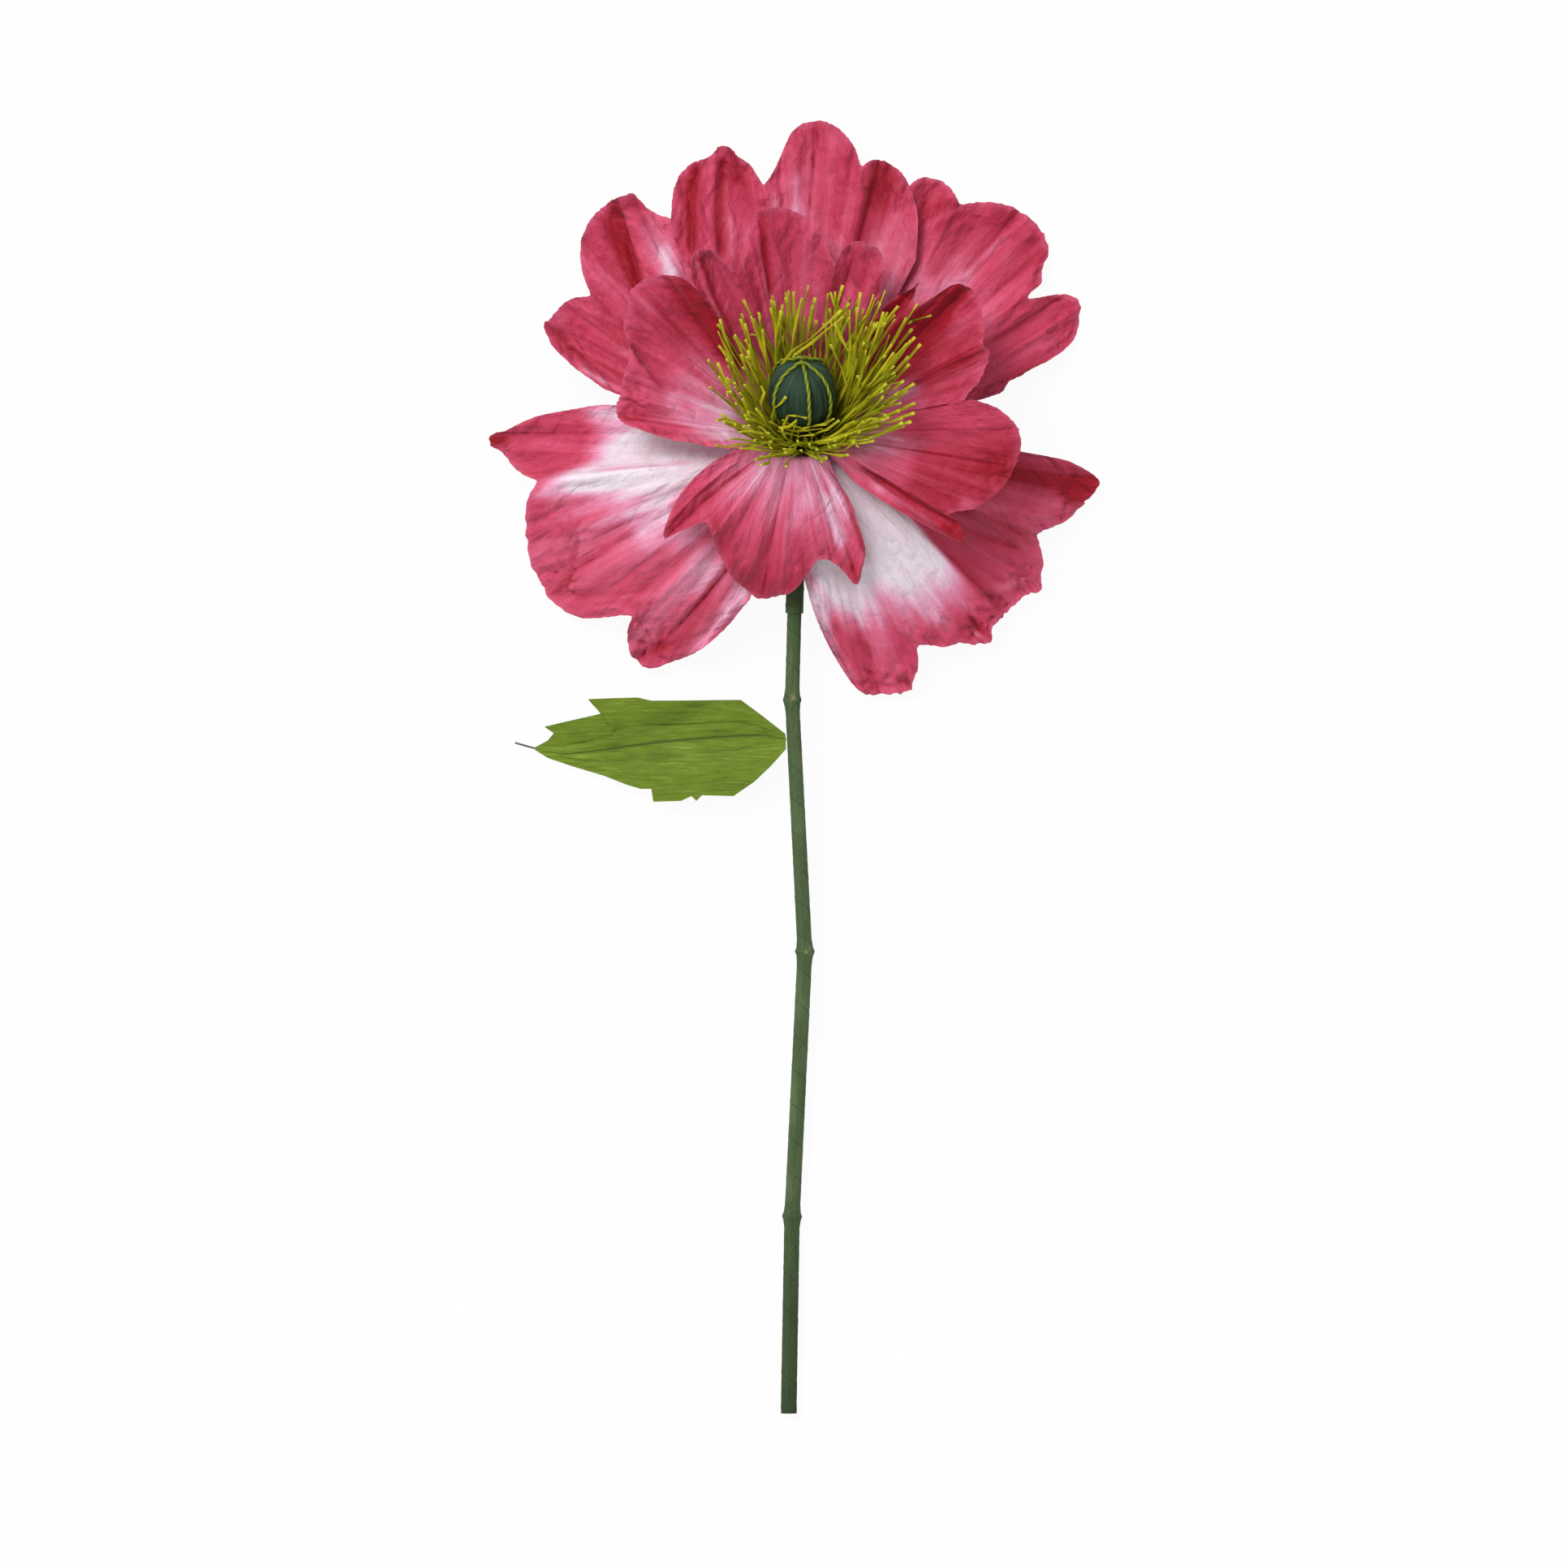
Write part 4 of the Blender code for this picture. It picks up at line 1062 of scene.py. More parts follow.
PETALS = (
    Petal(
        "outer_petal_top", OUTER, (56, 122), 11, 0.6,
        rim=(
            (58, 132), (63, 158), (67, 172), (70, 179), (73, 181.7), (75.4, 181.8), (76.8, 179),
            (78, 174.4), (79.1, 182), (80.8, 189.4), (82.8, 195), (85, 199), (87.1, 200.1), (89.5, 198.3),
            (91.6, 193.6), (92.4, 189), (93.7, 179), (95.5, 170), (98.4, 160.5), (99.6, 169.3),
            (100.6, 176.4), (102.2, 181.3), (102.8, 185.5), (103.9, 189.5), (105.7, 190.8), (106.4, 188.1),
            (108.7, 185.4), (111.5, 186.4), (114.6, 182.3), (117.2, 174.2), (120.2, 160.5), (122, 150),
        ),
        lobes=(58, 72, 78.5, 88, 98, 105, 120),
        dye=(
            (58, 110, 165), (75, 100, 160), (88, 130, 190), (93, 140, 188), (99, 120, 165), (110, 90, 150),
            (122, 90, 145),
        ),
        furrows=(
            (88.6, 132, 87.2, 197, 2, -1.4), (86.5, 140, 84, 192, 3, 0.8), (91.5, 135, 90.5, 190, 3, 0.8),
            (69, 120, 66, 168, 4, 0.8), (80.5, 130, 80.5, 182, 3, 0.7), (85, 165, 82.5, 172, 2.5, -0.8),
            (106, 130, 107.5, 155, 2, 1), (116.5, 140, 114, 176, 2, -0.8), (101, 130, 100.5, 165, 2.5, 0.8),
            (72, 130, 71.5, 172, 2, -0.7),
        ),
        steps=(
            (117.8, 138, 109.8, 184, 6, -2), (113.6, 126, 106.3, 185, 5, 1.8),
            (75.6, 120, 75.2, 182, 7, 1.6),
        ),
        stains_and_shadows=(
            (118.9, 136, 111, 183, 4, 1.1), (112.4, 126, 105.2, 184, 2.4, 0.65),
            (104, 164, 104, 182, 7, 0.45), (76.2, 128, 75.9, 180, 2, 0.5), (88.6, 132, 87.2, 196, 0.9, 0.8),
            (91.2, 150, 90.4, 192, 2.2, 0.25), (82, 130, 81.5, 165, 7, 0.3), (71, 120, 70, 170, 4, 0.2),
            (72.2, 152, 72.6, 184, 6.5, 0.6), (74.9, 118, 74.7, 180, 1.4, 0.7),
        ),
        washes_and_highlights=(
            (96.2, 128, 96.6, 156, 3.4, 0.28), (91.6, 120, 91.2, 166, 3, 0.18),
            (109.6, 122, 107.4, 147, 1.6, 0.28), (115.4, 130, 108, 182, 3.4, 0.1),
            (69, 118, 67.5, 158, 5, 0.14), (84, 150, 84, 196, 4, 0.06),
        ),
        pinches=((103, 181, 9, 1.2), (104.4, 169, 9, 0.9)),
        curls=((104, 4, 5, 0.8), (88, 8, -2, 0.8), (72, 7, 2, 0.8)),
        lift=5,
    ),
    Petal(
        "outer_petal_upper_right", OUTER, (2, 53), 23, 0.58,
        rim=(
            (13, 104), (14, 113), (14.6, 129), (17.1, 134), (18.5, 152), (19.2, 169), (21, 181),
            (23.1, 187), (26.2, 190.5), (28.9, 190.3), (30.1, 185.7), (31.6, 173), (32.7, 164.5),
            (33.3, 167), (33.7, 178.6), (35.5, 182), (36.9, 187.6), (37.3, 192.7), (40.6, 197.4),
            (44.5, 198.5), (48.3, 196.7), (51.5, 190.8), (54.1, 184.3), (56.6, 177), (57.4, 179),
            (59.5, 182.6), (62, 184.6), (65, 181.9), (67.2, 174.5), (68.5, 150),
        ),
        lobes=(13, 27, 33, 45, 57, 62, 68),
        dye=(
            (13, 66, 105), (22, 80, 140), (30, 100, 155), (38, 124, 188), (46, 130, 190), (52, 124, 185),
            (68, 100, 160),
        ),
        shades=((13, 0.58, 0.88), (34, 0.56, 0.9), (42, 0.54, 0.98), (52, 0.54, 0.96), (60, 0.6, 0.88)),
        furrows=(
            (46, 130, 46.2, 196, 2.4, -1.2), (49, 130, 48, 197, 2, 1), (43, 135, 42.5, 196, 2.2, 1),
            (40, 130, 38, 188, 2.2, -0.8), (51.5, 130, 52, 186, 2.6, -0.7), (36, 130, 36, 180, 2.2, 0.8),
            (29.5, 120, 29.6, 184, 2.6, -1.3), (24, 120, 25.5, 184, 2.6, 1),
            (20.5, 120, 20.5, 170, 2.2, -0.8), (63.5, 160, 62.5, 182, 2.2, -1),
        ),
        steps=(
            (56.8, 130, 57, 178, 6, 1.4), (30.4, 130, 29.8, 186, 5, 0.9), (47.4, 146, 46.3, 197, 6, -1.5),
            (38.6, 136, 38.4, 190, 6, -1.2), (23.6, 120, 26, 186, 4, 1), (61, 150, 63.5, 182, 4, -1),
        ),
        stains_and_shadows=(
            (16, 112, 19, 150, 3, 0.35), (33, 140, 33.2, 166, 2.2, 0.5), (58, 155, 57.3, 176, 2.5, 0.55),
            (63.5, 160, 62.5, 180, 1, 0.4), (46, 138, 46.2, 190, 1, 0.4), (39.6, 150, 39.2, 188, 3, 0.2),
            (62, 140, 62, 178, 12, 0.2), (62.9, 154, 56.8, 178, 0.9, 0.7), (63.4, 158, 58.4, 178, 2.6, 0.5),
            (24, 98, 25, 120, 6, 0.35),
        ),
        washes_and_highlights=(
            (49.5, 122, 47, 150, 8, 0.12), (46.6, 160, 45.6, 196, 1.3, 0.3),
            (61.6, 152, 55.8, 176, 1.6, 0.2), (36, 108, 37, 128, 6, 0.16), (22.5, 125, 23.5, 172, 4, 0.1),
            (41, 150, 41, 176, 6, 0.06),
        ),
        pinches=((22.7, 171, 8, 1), (27.5, 182, 7, 0.8)),
        curls=((41, 6, 2.5, 0.8), (27, 5, 4, 0.75), (62, 5, -2, 0.7)),
    ),
    Petal(
        "outer_petal_lower_right", OUTER, (-92, -1), 37, 0.04,
        rim=(
            (-90, 82), (-88, 90), (-86, 104), (-82, 129), (-78, 153), (-75.5, 161), (-71, 163.5),
            (-68, 166), (-65.5, 166), (-64.8, 160.3), (-63.1, 158.3), (-61.5, 151), (-60.4, 143),
            (-58.9, 145), (-54.9, 153.5), (-50.8, 157.9), (-49.6, 164), (-48.6, 162), (-47.9, 166.4),
            (-46.4, 167.4), (-44.6, 161.6), (-40.6, 163.5), (-36, 165.1), (-33, 167.6), (-31.8, 172.7),
            (-29.7, 169), (-25.2, 163.2), (-20.8, 156), (-18.9, 162), (-16.5, 170.6), (-13.9, 174.6),
            (-11.2, 178.9), (-7.2, 182.8), (-5.4, 178.7), (-4.2, 171.2), (-3.4, 162.7), (-2.6, 142),
            (-2, 130),
        ),
        lobes=(-89, -69, -60, -37, -21, -7, -2),
        dye=(
            (-90, 60, 118), (-84, 72, 124), (-80, 92, 114), (-75, 100, 128), (-72, 112, 132),
            (-68, 92, 138), (-60, 94, 138), (-55, 110, 142), (-49, 108, 152), (-44, 112, 152),
            (-41, 112, 146), (-38, 84, 118), (-35, 52, 78), (-30, 40, 80), (-10, 40, 80), (-2, 60, 100),
        ),
        shades=((-42, 0.04, 0.86), (-36, 0.04, 0.78), (-18, 0.04, 0.76), (-12, 0.04, 0.84)),
        furrows=(
            (-70.6, 90, -72.5, 155, 1.2, -1.8), (-67, 95, -68, 155, 3, 0.9), (-77, 95, -75.5, 152, 3, 0.9),
            (-60.5, 100, -60.3, 142, 4, 1.6), (-52, 90, -51, 150, 3, -0.8), (-45, 70, -45.5, 150, 3, 0.9),
            (-40, 132, -30, 165, 2, -1), (-33, 120, -29, 152, 2, 0.9), (-27, 110, -26, 156, 2, -0.9),
            (-21, 110, -21, 155, 4, 1.6), (-12, 130, -10.7, 172, 1.6, -1.2), (-8, 130, -8, 165, 4, 1),
            (-16, 130, -14, 172, 2, 0.9), (-24, 100, -18, 140, 1.8, -0.8), (-56, 105, -57, 148, 2, 0.7),
        ),
        steps=(
            (-38, 60, -40.2, 160, 6, -1.6), (-86, 84, -77, 153, 5, 1.6), (-45, 150, -47.2, 166, 3, 1.2),
            (-70.6, 80, -72.5, 155, 8, 1.6), (-21, 90, -21, 156, 8, 1.4), (-10, 110, -10.6, 172, 7, -1.5),
        ),
        stains_and_shadows=(
            (-70.6, 92, -72.5, 155, 0.8, 0.5), (-67.5, 155, -66, 164, 3.5, 0.6),
            (-38, 90, -40, 158, 1.6, 0.5), (-46.5, 150, -45.6, 164, 3, 0.55), (-7.6, 168, -7.4, 183, 7, 1),
            (-7, 124, -7.4, 166, 11, 0.75), (-11.6, 164, -9.6, 181, 7, 0.9), (-22, 100, -12, 130, 6, 0.3),
            (-28, 100, -26, 150, 14, 0.35), (-85, 88, -77.5, 152, 1.2, 0.3), (-21, 125, -21, 152, 1.6, 0.3),
        ),
        washes_and_highlights=(
            (-37, 150, -31.5, 163, 3, 0.2), (-86.5, 90, -78.5, 150, 4.5, 0.38),
            (-69, 130, -69, 164, 12, 0.13), (-52, 128, -52, 152, 5, 0.12),
            (-47.6, 154, -47.4, 165, 1.4, 0.4),
        ),
        pinches=(
            (-72.5, 155, 11, 1.6), (-40.2, 159.4, 10, 1.8), (-46.4, 159, 7, 1.8), (-10.7, 171.5, 10, 1.6),
            (-66, 161, 6, 1.3), (-30.5, 160, 9, 1.2),
        ),
        curls=((-47, 4, 7, 0.84), (-8, 4, 9, 0.8), (-65, 3.5, 6, 0.85), (-33, 8, 3, 0.85)),
        crumple=1.15,
    ),
    Petal(
        "outer_petal_lower_left", OUTER, (172, 264), 41, 0.08,
        rim=(
            (167, 104), (168.4, 114.3), (169.1, 124.3), (171.5, 142), (174.05, 164), (175.6, 173),
            (176.8, 178.5), (177.5, 182), (177.7, 188), (178.4, 189), (180.9, 188.6), (181.2, 184),
            (181.5, 183), (183.1, 182.4), (184.4, 179.5), (185.6, 176.5), (187.2, 170), (188, 163.8),
            (188.9, 165.9), (192, 171.5), (194.3, 175.5), (198.6, 178.2), (202, 181), (206.2, 181.5),
            (210.7, 182), (214.7, 178.3), (218.5, 172.9), (221.5, 163), (223.8, 153.7), (225.6, 147.6),
            (226.5, 155.3), (228.1, 161.8), (230.7, 167.1), (234, 169.5), (236.3, 167.6), (238.1, 161.4),
            (241.6, 150.9), (245.1, 136.3), (248.5, 119.8), (251.5, 101),
        ),
        lobes=(168, 181, 189, 207, 226, 234, 251),
        dye=(
            (167, 70, 150), (171, 96, 150), (175, 100, 136), (180, 118, 136), (184, 116, 140),
            (188, 140, 164), (191, 140, 168), (195, 90, 175), (199, 60, 176), (205, 60, 172),
            (211, 70, 176), (217, 80, 160), (222, 80, 150), (228, 90, 160), (234, 96, 156), (240, 90, 146),
            (246, 80, 136), (252, 60, 110),
        ),
        shades=(
            (167, 0.12, 0.86), (188, 0.08, 0.82), (199, 0.14, 0.8), (204, 0.38, 0.8), (212, 0.5, 0.78),
            (228, 0.56, 0.78), (238, 0.6, 0.84), (243, 0.62, 0.86), (251, 0.46, 0.76),
        ),
        furrows=(
            (176, 110, 178.2, 182, 1.6, -1.2), (181.5, 120, 182, 178, 4, 1),
            (185, 120, 185, 172, 2.4, -0.7), (188.4, 90, 188.3, 164, 4, 1.6),
            (193, 70, 196, 168, 2.4, -0.8), (199, 80, 201, 172, 2.4, 0.9), (207, 70, 209.6, 168, 1.4, -1.3),
            (213, 90, 212, 172, 2.4, 0.9), (218, 90, 217, 166, 2.2, -0.8), (226, 80, 225.8, 148, 4, 1.6),
            (239.5, 84, 234.3, 157, 1.6, -1.6), (231, 100, 230, 156, 3, 0.8), (243, 90, 240, 150, 2.2, 0.9),
            (203, 90, 205, 160, 1.8, -0.6), (246.6, 90, 243, 140, 1.8, -0.7),
        ),
        steps=(
            (204, 150, 213, 172, 4, 1.2), (198, 158, 204, 150, 4, -1), (248, 96, 241.5, 148, 4, 0.9),
            (239.5, 70, 234.3, 157, 8, -1.8), (188.4, 90, 188.4, 164, 7, 1.4), (226, 90, 226, 148, 8, 1.2),
        ),
        stains_and_shadows=(
            (179.2, 181, 179.3, 190, 4, 1.1), (177, 130, 178.2, 180, 1.2, 0.35),
            (184, 150, 182, 176, 7, 0.2), (201, 146, 202, 160, 5, 0.35), (210, 160, 210.6, 180, 4, 0.45),
            (221, 108, 220, 134, 6, 0.35), (239.5, 88, 234.3, 157, 1.4, 0.45),
            (236, 150, 234, 164, 5, 0.35), (214, 140, 213, 168, 7, 0.2), (226, 130, 226, 148, 2, 0.4),
            (241, 110, 238, 150, 4, 0.25), (207.5, 90, 209.4, 160, 0.8, 0.3),
        ),
        washes_and_highlights=(
            (170.5, 112, 172, 132, 4.5, 0.2), (203.5, 82, 204, 108, 6, 0.2), (209, 90, 209, 118, 13, 0.3),
            (234, 90, 234, 118, 12, 0.18), (248.6, 84, 242.5, 150, 6, 0.3), (201, 110, 200, 150, 8, 0.12),
            (234, 118, 234, 164, 14, 0.05), (190, 155, 191, 168, 3, 0.15), (191.4, 80, 191, 146, 7, 0.16),
            (188, 70, 187.4, 130, 1.6, -0.2), (206.3, 66, 202.6, 145, 3, -0.2),
            (199, 90, 200, 150, 3, -0.1),
        ),
        pinches=(
            (209.9, 169.8, 13, 1.8), (234.1, 157, 13, 1.7), (201, 152.5, 10, 1.4), (179.2, 183, 8, 1.6),
            (226.6, 147, 8, 1),
        ),
        curls=((179.3, 2.2, 10, 0.9), (203, 9, 4, 0.84), (214, 5, 3, 0.86), (231, 4, 4, 0.85)),
        crumple=1.1,
    ),
    Petal(
        "outer_petal_left", OUTER, (125, 169), 53, 0.62,
        rim=(
            (118, 152), (120.2, 160.5), (121.9, 166), (123.4, 174.5), (123.9, 182), (124.3, 185),
            (126.2, 188.8), (128.3, 190.8), (131.1, 191.2), (133.6, 190.1), (136.7, 186.4), (139.5, 180.2),
            (142.2, 171.5), (143.9, 163.6), (145.1, 159), (147.1, 166.5), (149.5, 171), (152.1, 171.2),
            (153.8, 171.3), (154.8, 174.3), (156, 173.2), (158.5, 166.6), (160.7, 153.9), (162.6, 140.9),
            (164.4, 128.3), (165.6, 113), (166.5, 104),
        ),
        lobes=(119, 123, 125.5, 131, 146, 155, 166),
        dye=(
            (118, 110, 165), (122, 130, 170), (128, 125, 165), (131, 100, 150), (138, 90, 130),
            (152, 80, 125), (166, 70, 115),
        ),
        furrows=(
            (134, 140, 129, 172, 1.6, -1.4), (135, 140, 131, 168, 1.8, 1),
            (136.5, 130, 137, 182, 2.4, -0.8), (146, 110, 145.2, 159, 4, 1.6),
            (150, 120, 150.6, 166, 2.4, -1.2), (153, 120, 154, 168, 2, 1), (157, 110, 157.5, 158, 2, -1),
            (161, 100, 161, 146, 2, 0.9), (123, 130, 124, 172, 2.2, 0.8), (141, 120, 140.5, 170, 2.4, 0.8),
            (127, 120, 124.6, 158, 2, -0.9), (149, 118, 143, 140, 2, -0.9),
        ),
        steps=((133.2, 134, 126.2, 188, 7, -2.2), (160.6, 120, 155.1, 168, 4, -1.2)),
        stains_and_shadows=(
            (135.3, 138, 128.4, 188, 4.6, 1.1), (133, 150, 131.5, 184, 8, 0.5),
            (155, 160, 155.3, 174, 3, 0.5), (150, 118, 148, 150, 2.2, 0.4),
            (159, 120, 156.5, 162, 1.8, 0.4), (147, 104, 147, 130, 4, 0.35),
            (145.6, 130, 145.3, 158, 2, 0.4),
        ),
        washes_and_highlights=(
            (126.2, 128, 124.6, 150, 5, 0.42), (127.5, 128, 124, 174, 12, 0.16),
            (163.6, 112, 161.5, 146, 2.2, 0.3), (150, 110, 151, 130, 5, 0.15),
            (139.5, 136, 139, 178, 7, 0.2), (152, 160, 151.5, 171, 4, 0.12),
        ),
        pinches=((156.4, 152, 9, 1.3), (126.6, 181, 8, 1), (151.5, 160, 8, 0.8)),
        curls=((126, 3, 6, 0.84), (154, 4, 6, 0.84), (138, 6, 3, 0.8)),
    ),
    Petal(
        "inner_petal_top", INNER, (62, 124), 67, 0.6,
        rim=(
            (62, 102), (64.6, 118), (66.5, 125), (68.6, 129), (72.2, 130.5), (75.7, 128.2), (78.4, 121.3),
            (79.8, 112.5), (81.5, 117), (83.8, 125.5), (87.2, 133.3), (89.5, 138.7), (93, 142.7),
            (96.4, 144.5), (99.9, 144.5), (101.8, 140.6), (104, 132), (106.6, 121), (108.8, 113.2),
            (111.6, 113.2), (113.2, 122), (114.4, 128.5), (115.7, 132.3), (117.9, 135.5), (119.9, 134.9),
            (121.4, 132), (124.4, 120),
        ),
        lobes=(65, 75, 81.5, 95, 110, 118, 124),
        dye=((62, 20, 110), (75, 20, 110), (90, 20, 120), (100, 20, 120), (124, 20, 100)),
        furrows=(
            (102, 90, 100.6, 142, 1.6, -1.4), (98, 90, 98, 140, 3, 0.9), (93, 80, 92, 138, 2.6, -0.8),
            (88, 80, 87.5, 130, 2.6, 0.8), (105, 80, 104.6, 126, 3, 0.8), (75, 70, 74.6, 118, 1.6, -1.2),
            (70.6, 70, 70, 124, 3, 0.9), (117, 60, 116, 128, 3, -1), (111, 60, 110, 112, 4, 1.5),
            (80.6, 60, 80, 112, 4, 1.5), (84, 80, 84.5, 122, 2, -0.7),
        ),
        steps=((125, 80, 120.3, 131, 4, -1.5), (102.2, 95, 100.6, 140, 4, 0.9), (72, 80, 71, 128, 3, 0.6)),
        stains_and_shadows=(
            (122.6, 76, 119, 130, 2.4, 0.9), (101.4, 92, 100, 140, 2, 0.7), (109.4, 76, 109.4, 114, 4, 0.5),
            (80, 84, 80, 112, 2.2, 0.35), (75.4, 72, 74.8, 116, 0.9, 0.7), (107, 84, 107, 118, 3, 0.25),
            (119, 128, 118.5, 134, 3, 0.4),
        ),
        washes_and_highlights=(
            (94, 60, 94, 90, 12, 0.12), (103.4, 90, 102.4, 138, 2, 0.2), (124.2, 88, 120.8, 131, 1.3, 0.24),
            (72, 70, 72, 100, 5, 0.12), (88, 95, 88, 130, 5, 0.08),
        ),
        pinches=((117, 127, 6, 0.4),),
        curls=((97, 8, -3, 0.8), (74, 6, 3, 0.78), (117, 5, 3, 0.78)),
        crumple=0.7,
    ),
    Petal(
        "inner_petal_right", INNER, (18, 59), 71, 0.5,
        rim=(
            (14, 103), (16.3, 107.7), (19, 115.5), (22.4, 123.4), (25.4, 128.2), (26.4, 127.9),
            (28.1, 126.4), (31.8, 132.2), (34.7, 135.1), (36.8, 139.5), (38.8, 141.8), (42.9, 141.4),
            (45.2, 138.6), (46.4, 134), (47.6, 122), (49.2, 111), (50.4, 112), (52, 119.5), (53.4, 126),
            (54.6, 118), (57.5, 104), (61, 84),
        ),
        lobes=(15, 24, 28, 40, 50, 53, 60),
        dye=((14, 20, 88), (24, 24, 90), (30, 20, 84), (40, 20, 74), (61, 10, 50)),
        furrows=(
            (41, 70, 43, 138, 4, -2), (36.5, 70, 37.5, 138, 3, 1.2), (45.6, 80, 45.4, 134, 2.6, 1.2),
            (33, 70, 33, 128, 2, -0.8), (29, 60, 28.2, 126, 2, -1.2), (24, 60, 25, 124, 3, 1),
            (20, 60, 20, 114, 2, -0.8), (49.8, 60, 49.6, 112, 4, 1.6), (55, 60, 54.4, 116, 2.6, -1.6),
            (38.8, 90, 40, 138, 1.6, 0.7),
        ),
        steps=((28, 70, 27, 127, 4, 1.2), (51.6, 70, 53, 124, 3, 1.3), (40.4, 60, 42.4, 138, 6, -1.6)),
        stains_and_shadows=(
            (42.4, 60, 43.8, 140, 6.5, 1.3), (38.4, 50, 41, 120, 8, 0.8), (33, 50, 33, 134, 14, 0.3),
            (56, 50, 54.4, 120, 6, 1), (49, 80, 48.4, 112, 2.6, 0.7), (26, 70, 26, 120, 16, 0.3),
            (28.6, 84, 28, 126, 1.2, 0.5), (36, 76, 34, 110, 2.4, 0.3), (46.4, 112, 45.6, 132, 2, 0.4),
            (20, 90, 20, 112, 2, 0.2), (32, 110, 31.6, 128, 3, 0.15),
        ),
        washes_and_highlights=((24, 50, 24, 80, 8, 0.3), (36, 110, 36.5, 136, 4, 0.14), (22, 90, 23, 120, 4, 0.1)),
        curls=((42, 6, 5, 0.8), (53, 3, 6, 0.8), (25, 5, 3, 0.8)),
        crumple=0.7,
    ),
    Petal(
        "inner_petal_lower_right", INNER, (-56, 15), 83, 0.44,
        rim=(
            (-38, 42), (-36, 66), (-34.4, 96), (-33.2, 115), (-31.6, 117.4), (-29.8, 115), (-28.2, 106),
            (-26.6, 99.8), (-24.4, 104), (-21.3, 113.9), (-17.6, 120), (-14.5, 124.4), (-10.6, 129),
            (-7.3, 131.4), (-1, 135), (3, 133.4), (6, 129), (10, 121), (13.6, 109), (15, 98),
        ),
        lobes=(-36, -31.5, -27, -4, 14),
        dye=(
            (-38, 4, 60), (-31, 8, 66), (-24, 14, 86), (-14, 20, 100), (-6, 24, 96), (2, 26, 94),
            (9, 26, 94), (15, 20, 84),
        ),
        furrows=(
            (-27.6, 40, -26.8, 100, 3, 1.4), (-23, 40, -21, 110, 2, -1), (-16, 36, -14.6, 120, 2.4, 0.9),
            (-7.7, 34, -6.9, 122, 1.2, -1.2), (-11, 40, -10.6, 124, 2, 0.7), (-2, 50, -2, 130, 2.6, 0.8),
            (2.5, 50, 3, 130, 1.6, -0.8), (7, 50, 7, 122, 2.4, 0.8), (11, 60, 11, 112, 2, -0.7),
            (-19, 50, -17.6, 116, 1.6, 0.6), (-32, 50, -31.5, 110, 2, -1),
        ),
        steps=((-33, 40, -29.4, 112, 4, -1.4), (0, 60, -4, 128, 3, 0.5)),
        stains_and_shadows=(
            (-30.5, 40, -28.6, 112, 1.6, 0.55), (-30, 104, -30, 116, 4, 0.45), (-22, 50, -24, 100, 6, 0.25),
            (-7.7, 40, -6.9, 122, 0.7, 0.5), (11, 100, 11, 116, 3, 0.3), (-17, 70, -15, 116, 2, 0.2),
            (-12, 70, -12, 134, 36, 0.55), (-35, 60, -33, 112, 1.2, 0.3), (-5, 110, -5, 132, 14, 0.25),
            (-31.4, 102, -31.4, 118, 3.4, 1.1),
        ),
        washes_and_highlights=(
            (-8, 28, -12, 60, 7, 0.12), (-20.4, 104, -22, 114, 5, 0.25), (-34.6, 50, -32.8, 96, 1.8, 0.3),
            (4, 30, 6, 62, 8, 0.12),
        ),
        pinches=((-8.5, 124, 8, 0.7),),
        curls=((-2, 12, -4, 0.76), (-31.5, 3, 2, 0.85)),
        crumple=0.55,
    ),
    Petal(
        "inner_petal_bottom", INNER, (208, 301), 97, 0.45,
        rim=(
            (186, 38), (189, 45), (193, 56), (198, 68), (202.5, 79), (207, 89), (212, 100), (215.2, 103.8),
            (217, 92), (219.4, 77), (222, 77), (225, 79), (230, 83), (235, 87), (241, 92), (247, 97),
            (254, 102), (258, 100.5), (261, 98), (266, 93), (270, 87), (274, 79), (277.5, 73), (281.5, 73),
            (286, 79), (288.4, 85), (290, 92.4), (292.6, 93), (294.6, 88), (298.6, 81), (302, 72),
            (305, 60), (308, 49), (313, 31), (322, 22),
        ),
        lobes=(189, 215, 221, 256, 279, 292, 320),
        dye=(
            (186, 12, 80), (198, 16, 84), (208, 20, 88), (218, 24, 80), (228, 24, 72), (240, 26, 76),
            (250, 26, 78), (260, 24, 76), (270, 26, 76), (280, 28, 78), (288, 34, 88), (298, 36, 92),
            (308, 20, 66), (322, 14, 44),
        ),
        furrows=(
            (254, 20, 256, 100, 1.4, -1.5), (246, 24, 248, 94, 3, 1), (263, 24, 262, 94, 3, 1),
            (234, 24, 236, 84, 2, -0.9), (226, 24, 227, 78, 3, 1), (212, 26, 215, 100, 1.8, -1.4),
            (204, 30, 206, 84, 3, 1), (271, 26, 270, 84, 2, -0.8), (280, 24, 279, 74, 4, 1.4),
            (296, 24, 291, 90, 1.8, -1.4), (304, 26, 299, 78, 2.4, 1), (240, 30, 242, 86, 1.6, 0.6),
            (219, 30, 219, 74, 2, -0.7), (287, 30, 286, 76, 2, 0.7),
        ),
        steps=((306, 24, 297, 84, 3, -1.2), (202, 40, 212.5, 98, 3, -1.1)),
        stains_and_shadows=(
            (254, 26, 256, 96, 0.8, 0.4), (212, 40, 215, 100, 1.4, 0.45), (205, 44, 212, 94, 2, 0.35),
            (296, 30, 291.6, 88, 1.2, 0.5), (291.4, 80, 291, 93, 4, 0.55), (308, 26, 300, 78, 1.4, 0.4),
            (222, 68, 224, 80, 4, 0.3), (236, 26, 238, 60, 0.9, 0.2), (264, 26, 264, 60, 0.9, 0.2),
            (246, 26, 246, 50, 0.8, 0.2), (279, 60, 279, 74, 4, 0.2), (250, 84, 250, 102, 24, 0.45),
